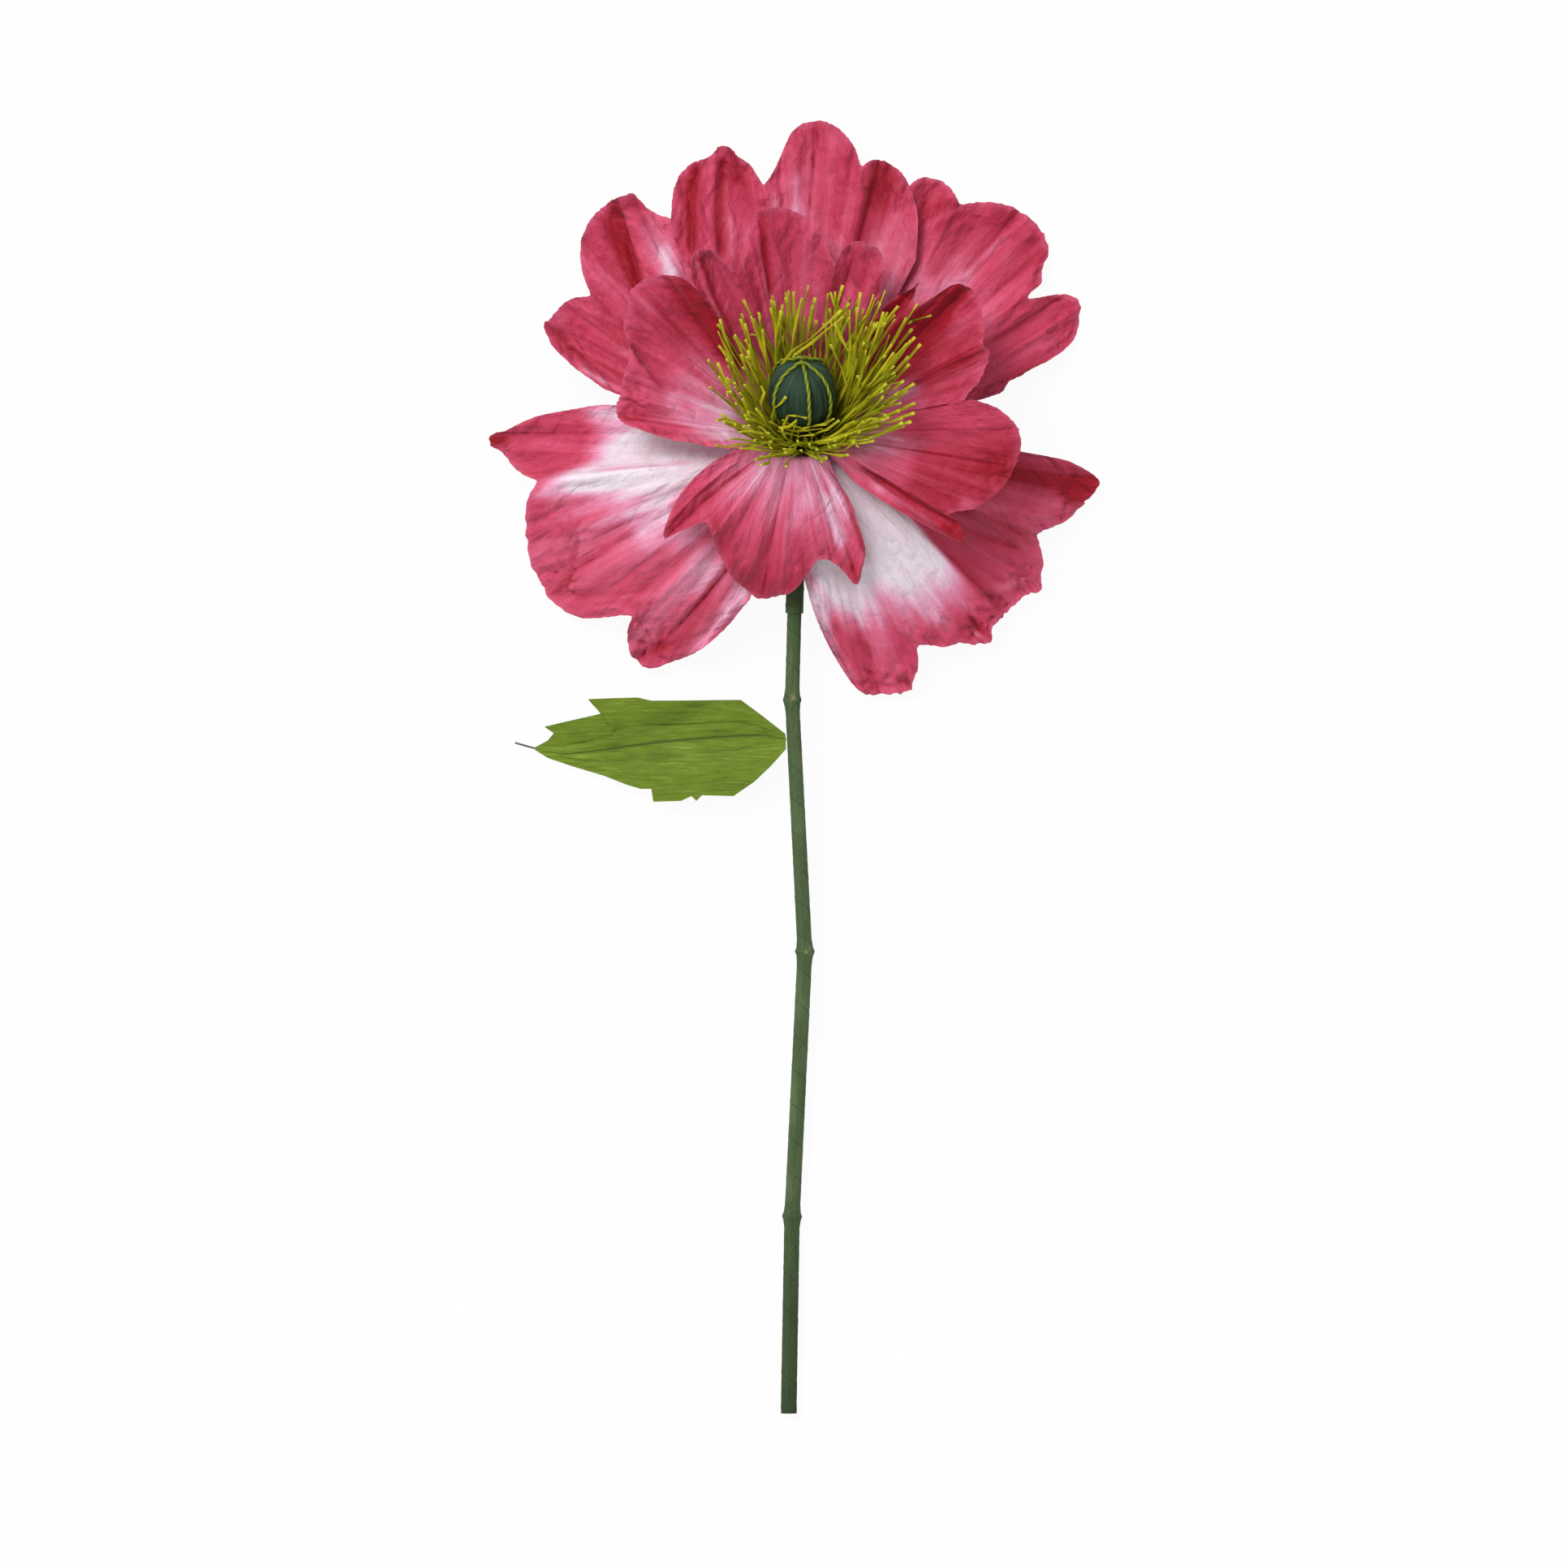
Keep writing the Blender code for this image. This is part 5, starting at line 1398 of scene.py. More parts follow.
            (232, 66, 232, 84, 10, 0.3), (268, 80, 266, 94, 6, 0.3),
        ),
        washes_and_highlights=(
            (222, 26, 224, 58, 4, 0.12), (294.5, 36, 291, 68, 5, 0.32), (232, 30, 232, 52, 3, 0.14),
            (268, 34, 268, 56, 4, 0.14), (305, 30, 301, 56, 2.4, 0.2), (250, 30, 250, 54, 3, 0.12),
        ),
        curls=((215, 6, 4, 0.8), (255, 14, -4, 0.7), (291, 5, 4, 0.8)),
        crumple=0.6,
    ),
    Petal(
        "inner_petal_left", INNER, (127, 205), 101, 0.4,
        rim=(
            (124, 104), (125.4, 118), (126.3, 127), (128, 131.5), (129.8, 133.9), (134, 138.7),
            (138.5, 139.4), (143, 135), (147.8, 128.1), (151.2, 120.5), (156, 117), (161, 116.5),
            (165.4, 114.4), (168.4, 116), (171, 115), (173.1, 112.8), (174.6, 106), (176.4, 97),
            (178.2, 84), (180, 72), (182.4, 58), (186, 40),
        ),
        lobes=(125, 136, 155, 171, 186),
        dye=(
            (124, 20, 80), (136, 24, 92), (146, 26, 108), (155, 30, 116), (163, 32, 120), (170, 34, 116),
            (176, 34, 98), (186, 20, 70),
        ),
        furrows=(
            (137, 70, 136.5, 138, 2.4, -1.2), (132, 60, 131, 132, 3, 1.2), (142, 60, 142, 134, 3, 1),
            (147, 60, 146.6, 126, 1.8, -0.8), (150, 90, 151, 120, 1.6, -1.3), (155, 60, 155, 116, 3, 1.2),
            (161, 50, 161, 112, 1.8, -0.8), (166, 44, 166, 112, 2.4, 0.8), (171, 44, 171, 112, 1.4, -1),
            (176, 40, 176, 96, 2, 0.8), (180, 34, 179, 80, 1.4, -0.8),
        ),
        steps=(
            (128.6, 70, 128.8, 131, 4, -1.8), (159, 92, 150.6, 122, 4, 1.3), (174, 60, 172.4, 112, 3, 0.7),
        ),
        stains_and_shadows=(
            (126, 60, 126.4, 130, 5.5, 1.1), (131, 60, 130.4, 116, 6, 0.35),
            (159, 94, 150.6, 121, 1.2, 0.6), (138, 96, 134, 124, 8, 0.4), (167, 104, 166, 113, 3, 0.3),
            (172.6, 70, 172, 112, 1, 0.45), (178, 56, 176, 96, 1.4, 0.4), (163, 90, 160, 112, 4, 0.2),
            (146, 110, 146, 124, 4, 0.15),
        ),
        washes_and_highlights=(
            (166, 44, 163, 88, 11, 0.2), (152, 50, 150, 84, 5, 0.1), (179.5, 34, 178.6, 60, 3, 0.14),
            (139, 118, 138, 138, 4, 0.12), (143, 60, 143, 90, 4, 0.12),
        ),
        pinches=((166.5, 105, 8, 0.9),),
        curls=((136, 8, -3, 0.76), (168, 7, -3, 0.8), (127, 4, 7, 0.5)),
        lift=3, crumple=0.6,
    ),
)


# Stamens


@dataclass(frozen=True)
class Fringe:
    """One turn of cut strip, its band round the wire and its twisted strings.

    Stand is (head azimuth, lean off the axis in degrees, free length in mm, crowding). Strays are
    (head azimuth, points in mm about the head's base). Unruly strings lean this many degrees off
    the rest, and cut is how short and how long they are beside the table's length.
    """

    name: str
    band: tuple[float, float, float, float]
    strings: int
    knee: tuple[float, float]
    brim: tuple[float, float]
    openness: float
    seed: int
    strays: tuple[tuple[float, tuple[Triple, ...]], ...] = ()
    radius: float = 0.95 * MM
    levels: int = 9
    sides: int = 5
    flatness: float = 0.55
    frayed: float = 1.15
    band_sides: int = 48
    band_tint: float = 0.3
    unruly: float = 6.0
    cut: tuple[float, float] = (0.72, 1.05)
    sway: float = 0.12
    kink: float = 0.055
    near_wildness: float = 2.4
    stand: Rows = (
        (0, 31, 70, 1.4), (30, 26, 78, 1.6), (60, 21, 70, 1.6), (72, 16, 68, 0.9), (80, 14, 62, 0.2),
        (90, 12, 64, 0.35), (97, 13, 74, 1.6), (118, 15, 72, 1.6), (140, 21, 62, 1.0), (165, 24, 56, 0.75),
        (185, 25, 50, 0.85), (205, 27, 44, 1.0), (225, 38, 36, 1.2), (250, 54, 27, 1.3), (270, 66, 18, 1.2),
        (290, 56, 27, 1.3), (308, 50, 38, 1.2), (330, 43, 54, 1.3), (345, 37, 62, 1.4), (360, 31, 70, 1.4),
    )

    def build(self, finish: bpy.types.Material) -> None:
        """Builds the band and its strings as one piece over their solid, and dresses it."""
        draw = np.random.default_rng(self.seed)
        strands = [self.band_piece()]
        pattern = self.strand_pattern()
        degrees = np.arange(361)
        crowd = np.cumsum(looked_up(self.stand, degrees, 3))
        for index in range(self.strings):
            share = (index + draw.uniform(0, 1)) / self.strings
            azimuth = float(np.interp(share * crowd[-1], crowd, degrees))
            strands.append(self.strand(pattern, self.route(azimuth, draw), draw.uniform(0, 1)))
        for azimuth, points in self.strays:
            strands.append(self.strand(pattern, self.stray_route(azimuth, points), draw.uniform(0.5, 1)))
        bpy.data.objects.remove(pattern, do_unlink=True)
        choose(*strands)
        bpy.ops.object.join()
        made = bpy.context.object
        made.name = made.data.name = self.name + "_strings"
        shade(made)
        dress(made, finish, Slot.STRING, self.name)

    def roots(self, azimuth: float, spread: float) -> list[np.ndarray]:
        """The first points of a string: in the band, at the knee and at the brim."""
        band = (self.band[0] + self.band[1]) / 2
        places = (
            (band, self.band[3] - 1),
            (self.knee[0] + spread, self.knee[1] - spread),
            (self.brim[0] + 2 * spread, self.brim[1]),
        )
        return [head_points(azimuth, radius * MM, along * MM) for radius, along in places]

    def stray_route(self, azimuth: float, points: Sequence[Triple]) -> np.ndarray:
        """The middle of a string that strays, through points in mm about the head's base."""
        past = HEAD_BASE + np.array(points) * MM
        return resampled(resampled(np.concatenate([self.roots(azimuth, 0)[:2], past]), 40, 5), self.levels)

    def band_piece(self) -> bpy.types.Object:
        """The uncut edge of the strip, wound round the wire."""
        inner, outer, bottom, top = self.band
        corners = ((inner, bottom), (outer, bottom), (outer, top), (inner, top), (inner, bottom))
        profile = np.array(corners) * MM
        turn = np.linspace(0, 360, self.band_sides + 1)[:, None]
        points = head_points(turn, profile[:, 0], profile[:, 1])
        # The band takes the painted shade of the strings' roots.
        made = grid_piece("band", points, strand=np.broadcast_to((0, self.band_tint, 0), points.shape))
        weld(made)
        return made

    def strand_pattern(self) -> bpy.types.Object:
        """One straight string, which the others copy."""
        route = np.linspace((0, 0, 0), (0, 0, 1), self.levels)
        radii = np.full((self.sides + 1, self.levels), 1.0)
        made = grid_piece("string", tube_points(route, radii, HEAD_SIDE))
        weld(made)
        return made

    def strand(self, pattern: bpy.types.Object, route: np.ndarray, tint: float) -> bpy.types.Object:
        """A copy of the pattern string, bent along a route."""
        mesh = pattern.data.copy()
        made = bpy.data.objects.new("string", mesh)
        bpy.context.scene.collection.objects.link(made)
        straight = np.empty(len(mesh.vertices) * 3, np.float32)
        mesh.vertices.foreach_get("co", straight)
        straight = straight.reshape(-1, 3)
        place = straight[:, 2] * (self.levels - 1)
        level = np.clip(np.rint(place).astype(int), 0, self.levels - 1)
        ahead = unit(np.gradient(route, axis=0))
        up = unit(np.cross(ahead, HEAD_SIDE + 0.3 * HEAD_AXIS))
        side = np.cross(ahead, up)
        thick = self.radius * (1 + 0.2 * np.sin(np.arange(self.levels) * 2.1 + tint * 9))
        thick[-2:] = self.frayed * self.radius
        twist = np.arange(self.levels) * 0.9 + tint * 6
        cos, sin = np.cos(twist[level]), np.sin(twist[level])
        x = straight[:, 0] * cos - straight[:, 1] * sin * self.flatness
        y = straight[:, 0] * sin + straight[:, 1] * cos * self.flatness
        points = route[level] + (up[level] * x[:, None] + side[level] * y[:, None]) * thick[level][:, None]
        mesh.vertices.foreach_set("co", points.astype(np.float32).ravel())
        # Painted shade in the twist's grooves, wavering along the string.
        painted_groove_shade = (0.5 + 0.5 * np.sin(place * 3.0 + tint * 20)) * 0.35
        values = np.stack([straight[:, 2], np.full(len(place), tint), painted_groove_shade], axis=1)
        add_attribute(made, "strand", values)
        return made

    def route(self, azimuth: float, draw: np.random.Generator) -> np.ndarray:
        """The middle of one string, from the band to its cut end."""
        lean, free_length = (looked_up(self.stand, azimuth, column) for column in (1, 2))
        flare = math.radians(lean + self.openness + draw.normal(0, self.unruly))
        reach = free_length * MM * draw.uniform(*self.cut)
        outward = head_points(azimuth, 1, 0) - HEAD_BASE
        across = np.cross(HEAD_AXIS, outward)
        free = HEAD_AXIS * math.cos(flare) + outward * math.sin(flare)
        roots = self.roots(azimuth, draw.uniform(-0.9, 0.9))
        sway = across * draw.normal(0, self.sway) + outward * draw.normal(0.02, 0.07)
        kink = across * draw.normal(0, self.kink) + HEAD_AXIS * draw.normal(0, 0.04)
        share = np.linspace(0.12, 1, 8)[:, None]
        curl = np.sin(share * draw.uniform(4, 8) + draw.uniform(0, 6)) * share
        near = max(0.0, -math.sin(math.radians(azimuth)))
        wild = 1.0 + self.near_wildness * near**2
        lay = across * 1.1 * near**4 * float(np.clip((azimuth - 270) / 20, -1, 1))
        loose = roots[2] + free * reach * share + sway * reach * share**2 * wild + kink * reach * curl * wild
        loose += lay * reach * share
        route = np.concatenate([roots, loose])
        return resampled(resampled(route, 30, 6), self.levels)


FRINGES = (
    Fringe(
        "stamen_fringe_inner", (1.9, 4.6, -8, 5), 104, (17, 9), (24.5, 16), -5, 3,
        strays=(
            (205, ((-26, 22, 28), (-24, 29, 32), (-21, 32, 34), (-22, 35, 34), (-25, 34, 33))),
            (222, ((-19, 14, 30), (-17, 21, 36), (-12, 24, 40), (-9, 25, 43), (-10, 27, 45))),
            (236, ((-12, 8, 32), (-10, 13, 37), (-6.5, 19, 42), (-3.5, 14, 42), (3, 14, 42))),
            (244, ((-6, 6, 32), (-3, 12, 38), (-3, 14, 41), (-8, 8, 36), (-14, 8, 34))),
            (120, ((-14, 48, 30), (-12.7, 52, 30), (2.6, 60, 38), (24, 80, 52))),
            (112, ((-11, 46, 28), (-6, 53, 32), (6, 60, 38), (25, 76, 50))),
            (20, ((24, 28, 22), (28.6, 33, 27), (24, 46, 38), (17.4, 59, 46))),
            (32, ((28, 34, 20), (33.7, 46, 30), (26, 59, 42), (20, 72, 50))),
            (15, ((30, 22, 22), (38, 32, 32), (34, 40, 40))),
            (304, ((17, 9, 29), (8, 7, 31), (-2, 6, 31), (-12, 7, 32), (-20, 12, 33))),
            (236, ((-17, 9, 29), (-6, 3, 29), (4, 3, 29), (14, 6, 30), (23, 13, 31))),
            (262, ((-3, 6, 29), (4, 9.5, 34), (12, 9, 33), (20, 14, 33))),
            (286, ((7, 5, 28), (2, 8, 31), (-6, 9, 33), (-12, 13, 36))),
        ),
    ),
    Fringe(
        "stamen_fringe_outer", (4.9, 7.6, -9, 3), 112, (18.5, 5.5), (28, 13), 5, 8,
        strays=(
            (228, ((-24, 4, 20), (-26, 1, 20), (-18, -1, 21), (-8, 0, 22), (-5, -2, 21))),
            (240, ((-28, -1, 17), (-18, -4, 17), (-5.5, -7, 17), (2, -7, 17), (7, -4, 18))),
            (268, ((-3, -5, 19), (0.5, -8, 16), (-5.5, -9.5, 15), (-9, -11.5, 14))),
            (290, ((9, 4, 24), (11, 0, 22), (8.8, -2, 20))),
            (300, ((15, 4, 22), (18, 0, 20), (17, -3, 18))),
            (278, ((3, 5, 26), (0.6, 0, 23), (2.6, -4, 20))),
            (215, ((-30, 8, 20), (-34, 4, 19), (-28, 1, 19), (-22, 3, 20))),
            (252, ((-10, 0, 23), (-1, -3, 22), (8, -2, 22), (18, 2, 24))),
            (284, ((7, 1, 23), (-3, -3, 22), (-12, -2, 23), (-20, 3, 24))),
            (296, ((13, 3, 23), (20, 4, 24), (28, 5, 24), (35, 10, 25))),
            (243, ((-15, 3, 23), (-22, 2, 23), (-29, 4, 23), (-35, 10, 25))),
        ),
    ),
)


# Pod


@dataclass(frozen=True)
class Pod:
    """The seed pod: paper gathered over a ball, and three twisted cords crossing at its top.

    Creases are so many degrees wide, so many mm deep and start so many radians down. Dents are in
    mm, and the mouth is the open part at the foot, in radians.
    """

    centre: float = 38 * MM
    radius: float = 21 * MM
    squareness: float = 0.86
    paper: float = 0.4 * MM
    cord_radius: float = 1.1 * MM
    seat: float = 0.05 * MM
    reach: float = math.radians(150)
    corner: float = 4 * MM
    hop_width: float = 3 * MM
    crowding: float = 0.2
    around: int = 144
    down: int = 72
    side_step: float = 1.7 * MM
    cord_wobble: float = 0.12 * MM
    mouth: float = 0.12
    creases: int = 34
    crease_width: tuple[float, float] = (1.6, 4.0)
    crease_depth: tuple[float, float] = (0.15, 0.55)
    crease_start: tuple[float, float] = (0.2, 0.8)
    deepest: float = 0.55
    dents: float = 0.12
    facet: float = 8.0
    cord_sides: int = 12
    cord_points: int = 170
    cord_lay: float = 118.0
    seed: int = 5

    def points(self, azimuth: np.ndarray, polar: np.ndarray, height: np.ndarray) -> np.ndarray:
        """Points over the paper: degrees round, radians down from the top, metres off the paper."""
        radius = self.radius + height
        level = np.abs(np.sin(polar)) ** self.squareness
        up = np.copysign(np.abs(np.cos(polar)) ** self.squareness, np.cos(polar))
        return head_points(azimuth, radius * level, self.centre + radius * up)

    def build_cover(self, finish: bpy.types.Material) -> None:
        """Builds the gathered paper over its solid."""
        azimuth = np.linspace(0, 360, self.around + 1)[:, None] + np.zeros(self.down + 1)
        polar = np.linspace(0, math.pi - self.mouth, self.down + 1)[None, :] + 0 * azimuth
        turn = np.radians(azimuth)
        draw = np.random.default_rng(self.seed)
        depth = np.zeros_like(azimuth)
        for _ in range(self.creases):
            at, width = draw.uniform(0, 360), draw.uniform(*self.crease_width)
            size, low = draw.uniform(*self.crease_depth), draw.uniform(*self.crease_start)
            off = np.abs((azimuth - at + 180) % 360 - 180)
            depth += size * np.exp(-off / width) * ease((polar - low) / 0.4)
        depth += self.dents + self.dents * crumple(np.cos(turn) * 20, polar * 20, self.facet, self.seed)
        depth[-1] = depth[0]
        gather = ease((polar - 0.05) / 0.3)
        points = self.points(azimuth, polar, -np.clip(depth, 0, self.deepest) * gather * MM)
        grain = np.stack([np.cos(turn) * 3, polar * self.radius * 2, np.sin(turn) * 3], axis=2)
        # Painted shade in the deepest creases.
        made = grid_piece("pod_paper_cover", points, grain=grain, deep=np.clip(depth - 0.25, 0, 1))
        weld(made)
        thicken(made, self.paper, -1)
        shade(made)
        dress(made, finish, Slot.POD, "pod_cover")

    def build_cord(
        self,
        name: str,
        azimuth: float,
        half_angle: float,
        side_step: float,
        hop: float,
        finish: bpy.types.Material,
    ) -> None:
        """Builds a twisted cord over its solid.

        Args:
            name: The solid that it stands for.
            azimuth: The middle of the cord's corner, in degrees.
            half_angle: Half the angle between its two legs.
            side_step: How far from the top it passes, in metres.
            hop: How far it rises over the cord under it, in metres.
            finish: Its material.
        """
        share = np.linspace(-1, 1, 151)
        along = self.radius * self.reach * share * np.abs(share) ** self.crowding
        turned = np.hypot(along, self.corner) - self.corner
        out = side_step + math.cos(math.radians(half_angle)) * turned
        across = math.sin(math.radians(half_angle)) * along
        bearing = azimuth + np.degrees(np.arctan2(across, out))
        seat = self.cord_radius + self.seat + hop * bell(across / self.hop_width)
        wobble = self.cord_wobble * np.sin(share * 23 + azimuth)
        polar = np.hypot(out, across) / self.radius
        route = self.points(bearing + np.degrees(wobble / self.radius), polar, seat)
        route = resampled(route, self.cord_points, 2)
        turn = np.linspace(0, math.tau, self.cord_sides + 1)[:, None]
        gone = np.linspace(0, 1, len(route))
        lay = np.cos(turn * 2 - gone * self.cord_lay)
        radii = self.cord_radius * (0.88 + 0.13 * lay)
        up = HEAD_AXIS if abs(azimuth) > 60 else HEAD_SIDE
        tint = np.broadcast_to(0.5 + 0.5 * np.sin(gone * 9), lay.shape)
        # Painted shade in the twist's grooves, where the cord is thinnest.
        strand = np.stack([np.full(lay.shape, 0.6), tint, 0.5 - 0.5 * lay], axis=2)
        strand = np.pad(strand, ((0, 0), (1, 1), (0, 0)), mode="edge")
        made = grid_piece(name + "_twist", tube_points(route, radii, up), strand=strand)
        weld(made)
        shade(made)
        dress(made, finish, Slot.CORD, name)

    def build(self, cover: bpy.types.Material, cord: bpy.types.Material) -> None:
        """Builds the cover and its three cords."""
        self.build_cover(cover)
        hop = 2 * (self.cord_radius + self.seat)
        self.build_cord("pod_cord_middle", 12, 90, 0, 0, cord)
        self.build_cord("pod_cord_front", -89, 51, self.side_step, hop, cord)
        self.build_cord("pod_cord_back", 91, 51, self.side_step, hop, cord)


# Stem


@dataclass(frozen=True)
class Stem:
    """The cane in its crepe tape, with a collar of tape at the neck.

    Nodes are (place up the stem, shift, rise, swelling), in mm, and a drop is how far below the
    head's base something ends, in mm.
    """

    foot: float = 4.95 * MM
    neck: float = 4.3 * MM
    length: float = 556 * MM
    square_end: float = 8 * MM
    node_half: float = 8 * MM
    knob_half: float = 3 * MM
    tape: float = 0.35 * MM
    nodes: Rows = ((122, 2, 1.35, 1.3), (286, 9.9, 9.5, 1.4), (441.5, 2, 17.3, 1.3))
    collar_start: float = 495 * MM
    collar_radius: float = 11.9 * MM
    collar_gap: float = 1.15 * MM
    mouth_gap: float = 1.1 * MM
    collar_drop: float = 8.7
    bend_drop: float = 16.0
    collar_turns: float = 5.2
    collar_length: float = 105 * MM
    collar_wall: float = 0.7 * MM
    collar_edge: float = 0.3 * MM
    tape_edge: float = 0.16 * MM
    tape_slant: float = 0.05 * MM
    crinkle: float = 0.07 * MM
    crinkle_pitch: tuple[float, float] = (5.0, 9.0)
    ripple: float = 0.16
    seed: int = 2
    sides: int = 40
    rings: int = 420

    def corners(self) -> np.ndarray:
        """The points where the axis bends."""
        rows = [(0, 0, 0), (0, self.square_end / MM, 0)]
        rows += [(shift, along, rise) for along, shift, rise, _ in self.nodes]
        rows.append((5, self.length / MM, 23))
        return np.array(rows, float) * MM

    def axis(self, along: np.ndarray) -> np.ndarray:
        """The stem's axis at distances up the stem."""
        corners = self.corners()
        return np.stack([np.interp(along, corners[:, 1], part) for part in corners.T], axis=-1)

    def radius(self, along: Numbers) -> Numbers:
        """The taped stem's radius, swelling at each node."""
        radius = self.foot + (self.neck - self.foot) * along / self.length
        for node, _, _, swelling in self.nodes:
            off = np.abs(along - node * MM) / self.node_half
            swell = swelling * MM * (np.maximum(0.0, 1 - off) ** 1.6)
            radius = radius + swell * (1 + self.ripple * np.cos(off * 9))
        return radius

    def knobs(self, along: np.ndarray) -> np.ndarray:
        """1 at each node, fading to 0 beside it."""
        return sum(bell((along - node * MM) / self.knob_half) for node, _, _, _ in self.nodes)

    def build(self, finish: bpy.types.Material) -> None:
        """Builds the wound tape and the collar over their solids."""
        along = np.linspace(0, self.length, self.rings + 1)
        route = self.axis(along)
        route[:, ::2] = smoothed(route[:, ::2], 3)
        ridge = self.winding(along / TAPE_TURN, self.tape_edge, 0.08, self.tape_slant)
        crinkle = self.crinkle * waves(self.turn() * 30, along[None] / MM, self.crinkle_pitch, self.seed)
        crinkle[-1] = crinkle[0]
        radii = self.radius(along)[None] - self.tape_slant + ridge + crinkle
        self.sleeve("stem_tape", route, radii, along, self.tape, finish)
        self.build_collar(finish)

    def turn(self) -> np.ndarray:
        """The share of the way round of each side of a sleeve."""
        return np.linspace(0, 1, self.sides + 1)[:, None]

    def winding(self, turns: np.ndarray, edge: float, soft: float, slant: float = 0.0) -> np.ndarray:
        """How far wound tape stands off a sleeve.

        Args:
            turns: The turns wound up to each place along.
            edge: The height of the tape's edge, in metres.
            soft: The share of a turn over which the edge falls off.
            slant: How far the tape rises over a turn, in metres.

        Returns:
            The height by angle and place along.
        """
        step = (turns[None] + self.turn()) % 1.0
        ridge = edge * (1 - ease(step / soft)) + slant * step
        ridge[-1] = ridge[0]
        return ridge

    def build_collar(self, finish: bpy.types.Material) -> None:
        """Builds the collar, which widens round the bound claws."""
        start = self.axis(np.linspace(self.collar_start, self.length, 30))
        route = np.concatenate([start, self.neck_bend(np.linspace(0, 1, 30))[1:]])
        end = HEAD_BASE - HEAD_AXIS * self.collar_drop * MM
        route = resampled(np.concatenate([route, [end]]), 90, 4)
        gone = np.linspace(0, 1, len(route))
        widen = ease((gone - 0.5) / 0.42)
        snug = self.radius(self.collar_start) + self.collar_gap
        radii = snug + (self.collar_radius + self.mouth_gap - snug) * widen
        ridge = self.winding(gone * self.collar_turns, self.collar_edge, 0.1)
        along = self.collar_start + gone * self.collar_length
        self.sleeve("neck_wrap", route, radii[None] + ridge, along, self.collar_wall, finish)

    def neck_bend(self, share: np.ndarray) -> np.ndarray:
        """The bend from the top of the cane into the head's axis."""
        corners = self.corners()
        start = corners[-1]
        leaving = unit(corners[-1] - corners[-2])
        end = HEAD_BASE - HEAD_AXIS * self.bend_drop * MM
        pull = np.linalg.norm(end - start)
        on = share[:, None]
        back = 1 - on
        return (
            start * (back * back * (1 + 2 * on))
            + end * (on * on * (3 - 2 * on))
            + leaving * (pull * back * back * on)
            - HEAD_AXIS * (pull * on * on * back)
        )

    def sleeve(
        self,
        name: str,
        route: np.ndarray,
        radii: np.ndarray,
        along: np.ndarray,
        wall: float,
        finish: bpy.types.Material,
    ) -> None:
        """Builds an open sleeve of tape and gives it its wall.

        Args:
            name: The solid that it stands for.
            route: Its middle.
            radii: Its outer radius by angle and place along.
            along: Distances up the stem at each point of the route.
            wall: Its thickness.
            finish: Its material.
        """
        points = tube_points(route, radii, UPWARD)[:, 1:-1]
        wound = np.stack(np.broadcast_arrays(self.turn(), along[None], self.knobs(along)[None]), axis=2)
        made = grid_piece(name + "_wound", points, wound=wound)
        weld(made)
        thicken(made, wall, -1)
        shade(made, 45)
        dress(made, finish, Slot.TAPE, name)


# Leaf


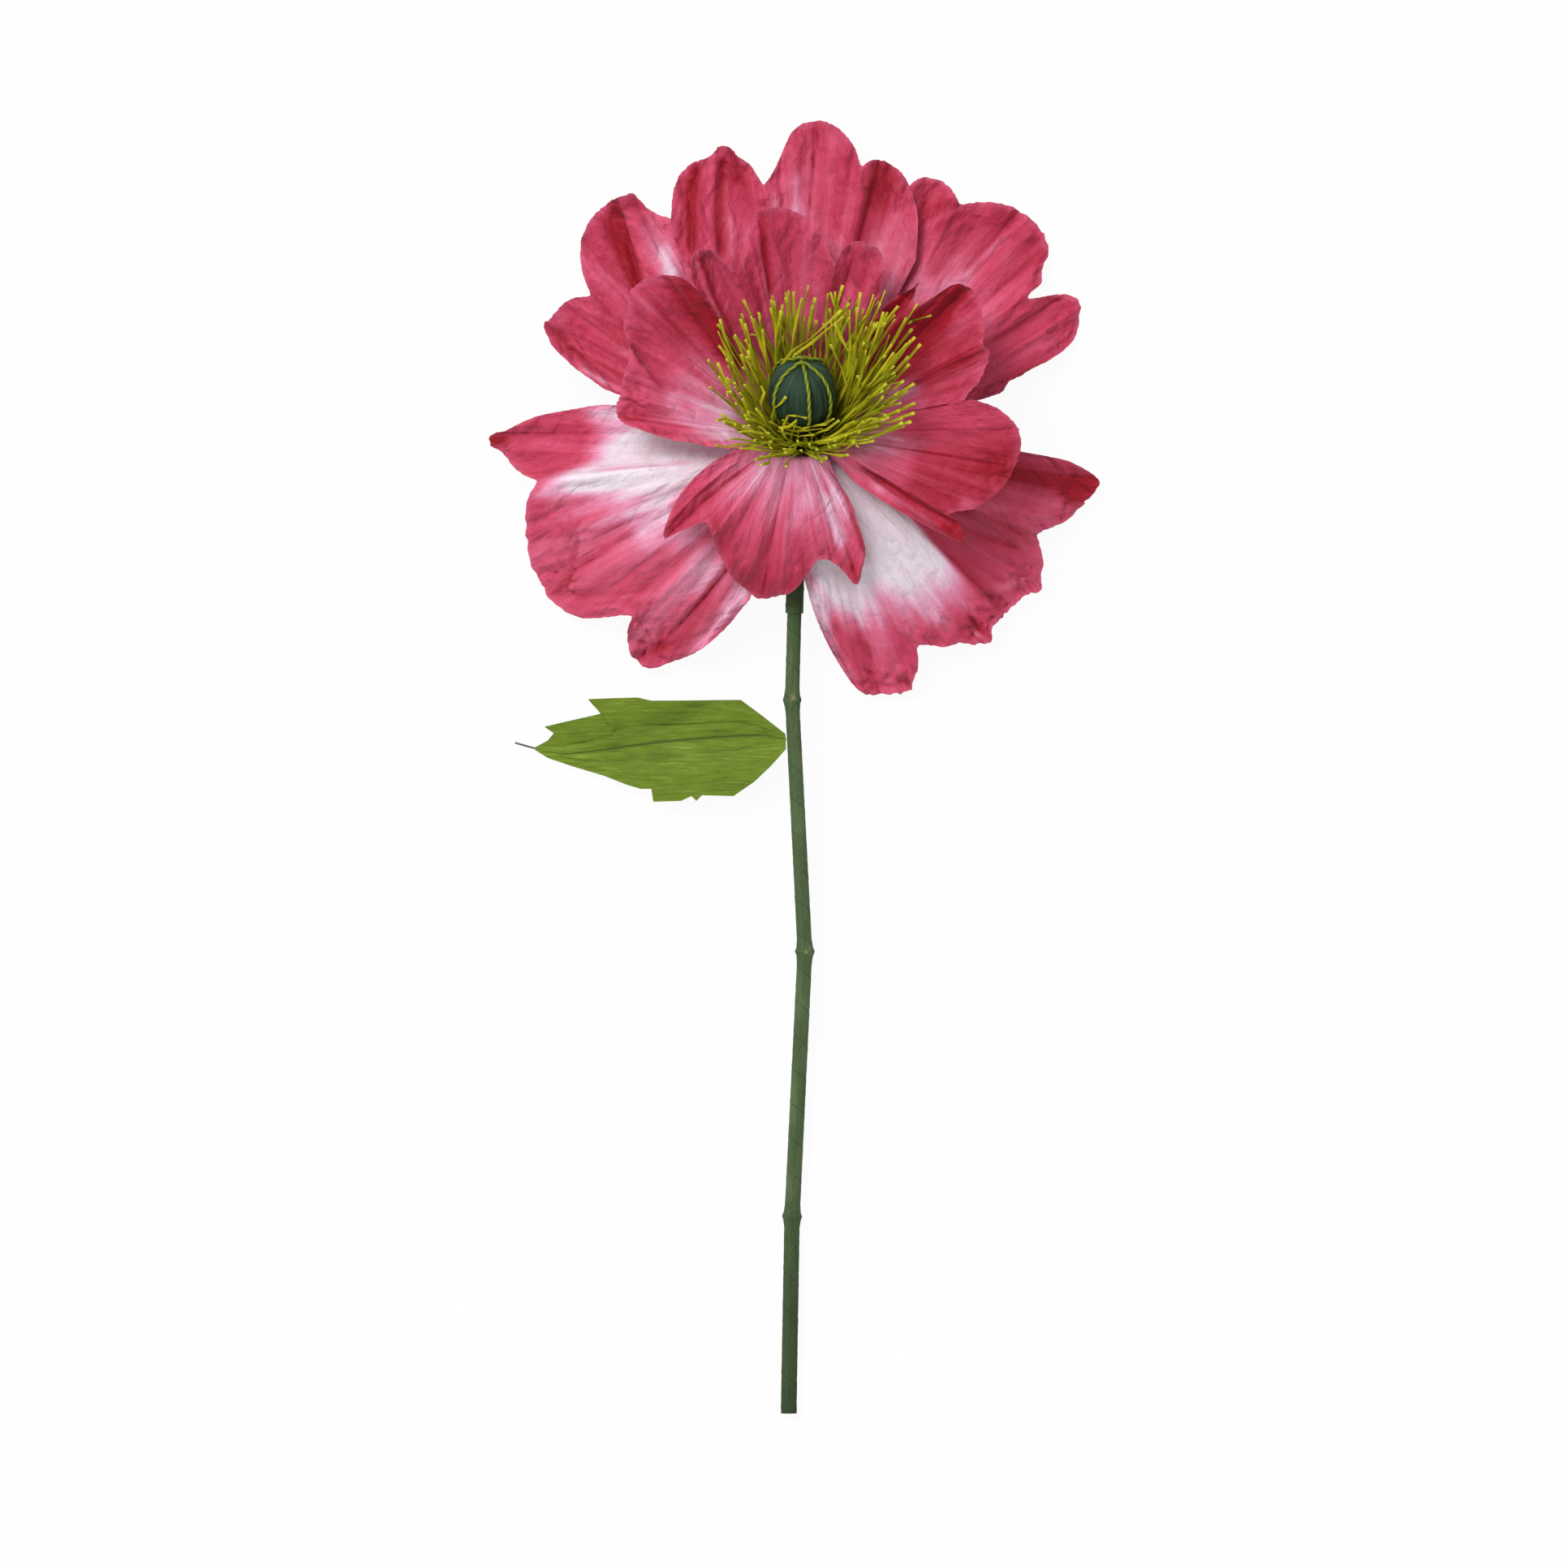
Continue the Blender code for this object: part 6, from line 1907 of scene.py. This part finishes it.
@dataclass(frozen=True)
class Leaf:
    """The leaf: a ragged blade of crepe paper, creased along its wired midrib.

    Stations are points on the midrib, the upper and the lower edge, as (out, up) from the root.
    Folds are (share of the way to the edge, height, width). All are in mm.
    """

    root: Triple = (-1.8, 417.0, 15.9)
    tip_height: float = 2.2
    valley: float = 3.0
    droop: float = 1.25
    sway: float = 0.8
    sway_pitch: float = 11.0
    crepe: float = 0.3
    crepe_pitch: float = 9.0
    midrib_width: float = 0.03
    midrib_shade: float = 0.95
    fold_shade: float = 0.5
    half_width: float = 30.0
    per_side: int = 26
    per_station: int = 7
    paper: float = 0.3 * MM
    seed: int = 12
    stations: tuple[Rows, ...] = (
        ((0.0, 0.0), (0.4, 3.5), (0.0, -6.0)),
        ((14.4, 3.0), (14.4, 14.5), (9.4, -16.5)),
        ((28.4, 2.6), (27.9, 24.5), (19.4, -26.0)),
        ((41.4, 1.8), (41.4, 24.4), (32.4, -35.0)),
        ((54.4, 0.7), (54.4, 24.2), (51.9, -34.5)),
        ((63.4, -0.1), (68.4, 24.1), (55.4, -38.0)),
        ((70.4, -0.7), (82.9, 24.0), (58.4, -35.0)),
        ((78.4, -1.5), (91.9, 26.0), (64.9, -38.0)),
        ((87.4, -2.8), (107.4, 25.6), (81.9, -38.5)),
        ((96.4, -4.0), (122.4, 25.0), (79.4, -30.5)),
        ((105.4, -5.2), (112.4, 16.5), (89.9, -30.5)),
        ((115.4, -6.6), (131.4, 12.2), (98.4, -28.0)),
        ((126.4, -8.0), (149.4, 8.0), (112.4, -22.5)),
        ((137.4, -9.0), (142.4, 5.5), (132.4, -16.5)),
        ((147.4, -7.8), (147.4, -0.5), (147.4, -11.4)),
        ((154.4, -5.8), (155.4, -4.8), (155.4, -6.4)),
    )
    folds: Rows = (
        (0.34, -0.9, 0.03), (-0.3, -0.7, 0.035), (0.66, 0.6, 0.04), (-0.62, 0.7, 0.05), (0.18, 0.5, 0.03)
    )

    def build(self, finish: bpy.types.Material) -> None:
        """Builds the blade over its solid."""
        table = np.array(self.stations, float)
        count = (len(table) - 1) * self.per_station
        place = np.linspace(0, len(table) - 1, count + 1)
        lines = [self.line(table[:, index], place) for index in range(3)]
        side = np.linspace(-1, 1, 2 * self.per_side + 1)
        midrib, upper, lower = (line[:, None] for line in lines)
        edge = np.where(side[None, :, None] > 0, upper, lower)
        flat = midrib + (edge - midrib) * np.abs(side)[None, :, None]
        out, up = flat[:, :, 0], flat[:, :, 1]
        across = np.abs(up - midrib[:, :, 1]) / self.half_width
        share = np.clip(out / table[-1, 0, 0], 0, 1)
        tip = self.tip_height + TABLE / MM
        height = self.root[2] + (tip - self.root[2]) * (1 - (1 - share) ** self.droop)
        sway = self.sway * np.sin(out / self.sway_pitch) * np.minimum(across, 1)
        height += self.valley * np.minimum(across, 1) ** 1.2 + sway
        crepe = self.crepe * crumple(out * 0.35, up, self.crepe_pitch, self.seed)
        height += crepe * np.minimum(across * 3, 1)
        # Painted shade along the midrib, in the valley folds and in a soft diagonal band on the upper half.
        deep = bell(side / self.midrib_width)[None, :] * self.midrib_shade + 0 * out
        for at, size, width in self.folds:
            ridge = np.exp(-np.abs(side[None, :] - at - 0.05 * np.sin(place / 3)[:, None]) / width)
            along = ease(share / 0.12) * (1 - ease((share - 0.82) / 0.12))
            height += size * ridge * along
            deep += self.fold_shade * (size < 0) * ridge**2 * along
        deep += 0.3 * bell((up - 23 + 0.4 * (out - 49)) / 6) * bell((out - 68) / 24)
        height = np.maximum(height, (TABLE + self.paper) / MM)
        points = np.stack([self.root[0] - out, self.root[1] + up, height], axis=2) * MM
        grain = np.stack([out, up, 0 * out], axis=2) * MM
        made = grid_piece("leaf_blade_paper", points, grain=grain, deep=np.clip(deep, 0, 1))
        thicken(made, self.paper, 0)
        shade(made, 50)
        dress(made, finish, Slot.LEAF, "leaf_blade")

    @staticmethod
    def line(stations: np.ndarray, place: np.ndarray) -> np.ndarray:
        """The points of the midrib or of an edge, at places counted in stations."""
        return np.stack([np.interp(place, range(len(stations)), part) for part in stations.T], axis=1)


# Studio


@dataclass(frozen=True)
class Studio:
    """The pale floor, the soft light and the camera, which looks straight down."""

    view_centre: tuple[float, float] = (-3 * MM, 389.5 * MM)
    view_width: float = 966 * MM
    view_level: float = 45 * MM
    camera_height: float = 10.0
    sensor: float = 36.0
    floor_side: float = 8.0
    floor_centre: tuple[float, float] = (0.0, 0.4)
    floor_gap: float = 0.15 * MM
    key_strength: float = 1.95
    key_softness: float = 28.0
    key_direction: Triple = (0.48, -0.55, -1.0)
    floor_glow: float = 0.94
    sky: float = 0.58

    def build(self) -> None:
        """Builds the studio."""
        self.build_floor()
        self.build_light()
        self.build_camera()

    def build_floor(self) -> None:
        """Lays the floor, white to the camera where it isn't shaded."""
        choose()
        middle = (*self.floor_centre, TABLE - self.floor_gap)
        bpy.ops.mesh.primitive_plane_add(size=self.floor_side, location=middle)
        floor = bpy.context.object
        floor.name = "floor"
        graph = Graph("floor_paper")
        path = graph.node("ShaderNodeLightPath")
        seen = Value(graph, path.outputs["Is Camera Ray"]) + path.outputs["Is Glossy Ray"]
        seen = (seen + path.outputs["Is Transmission Ray"]).clamped()
        graph.surface((0.9, 0.9, 0.9), 0.9, 0.0)
        glow = graph.node("ShaderNodeEmission", {}, {"Color": (1.0, 1.0, 1.0), "Strength": 1.0})
        sockets = {0: seen * self.floor_glow, 1: graph.shader.outputs[0], 2: glow.outputs[0]}
        mixed = graph.node("ShaderNodeMixShader", {}, sockets)
        graph.feed(graph.tree.nodes["Material Output"].inputs["Surface"], mixed.outputs[0])
        floor.data.materials.append(graph.material)

    def build_light(self) -> None:
        """Adds a soft key light and an even sky."""
        key = bpy.data.lights.new("key", "SUN")
        key.energy = self.key_strength
        key.angle = math.radians(self.key_softness)
        lamp = bpy.data.objects.new("key", key)
        lamp.rotation_euler = Vector(self.key_direction).to_track_quat("-Z", "Y").to_euler()
        bpy.context.scene.collection.objects.link(lamp)
        world = bpy.data.worlds.new("sky")
        bpy.context.scene.world = world
        world.use_nodes = True
        sky = world.node_tree.nodes["Background"].inputs
        sky["Color"].default_value = (1, 1, 1, 1)
        sky["Strength"].default_value = self.sky

    def build_camera(self) -> None:
        """Hangs the camera far above, so that it sees the flower with hardly any perspective."""
        data = bpy.data.cameras.new("camera")
        data.sensor_width = self.sensor
        data.lens = self.sensor * self.camera_height / self.view_width
        data.clip_end = 10 * self.camera_height
        camera = bpy.data.objects.new("camera", data)
        camera.location = (*self.view_centre, self.view_level + self.camera_height)
        bpy.context.scene.collection.objects.link(camera)
        bpy.context.scene.camera = camera
        bpy.context.scene.view_settings.view_transform = "Standard"


# ridge and tip are painted highlight colours, groove and root painted shade colours.
CORD_FINISH = TwistedPaper(
    "pod_cord_paper",
    colour=srgb(140, 154, 34),
    ridge=srgb(166, 178, 50),
    painted_groove_shade=srgb(74, 84, 14),
    root=srgb(112, 124, 34),
    tip=srgb(190, 196, 90),
)
STRING_FINISH = TwistedPaper(
    "stamen_paper",
    colour=srgb(142, 146, 6),
    ridge=srgb(206, 200, 24),
    painted_groove_shade=srgb(92, 92, 0),
    root=srgb(72, 58, 0),
    tip=srgb(202, 198, 50),
)
CANE_FINISH = Plain("dry_cane", srgb(206, 180, 124), srgb(150, 118, 70), 0.55)
WIRE_FINISH = Plain("florists_wire", srgb(126, 132, 120), srgb(70, 78, 66), 0.45, 0.6)
BALL_FINISH = Plain("pressed_paper", srgb(226, 222, 208), srgb(196, 190, 172), 0.9, 0.0, (400, 400, 400))


def dress_hidden_solids(nodes: dict[str, bpy.types.Object]) -> None:
    """Gives the solids that stay as they are their finishes."""
    cane, wire, ball = CANE_FINISH.material(), WIRE_FINISH.material(), BALL_FINISH.material()
    wires = ("head_wire", "binding_wire", "leaf_wire")
    chosen = {"bamboo_cane": cane, "pod_ball": ball, **dict.fromkeys(wires, wire)}
    for name, finish in chosen.items():
        nodes[name].data.materials.clear()
        nodes[name].data.materials.append(finish)


def main() -> None:
    """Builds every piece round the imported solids."""
    logging.basicConfig(level=logging.INFO, format="%(message)s")
    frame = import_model()
    Studio().build()
    dress_hidden_solids(frame["nodes"])
    dyed = DyedPaper().material()
    for petal in PETALS:
        petal.build(dyed)
    string = STRING_FINISH.material()
    for fringe in FRINGES:
        fringe.build(string)
    Pod().build(PodPaper().material(), CORD_FINISH.material())
    Stem().build(CrepeTape().material())
    Leaf().build(LeafPaper().material())


if __name__ == "__main__":
    main()
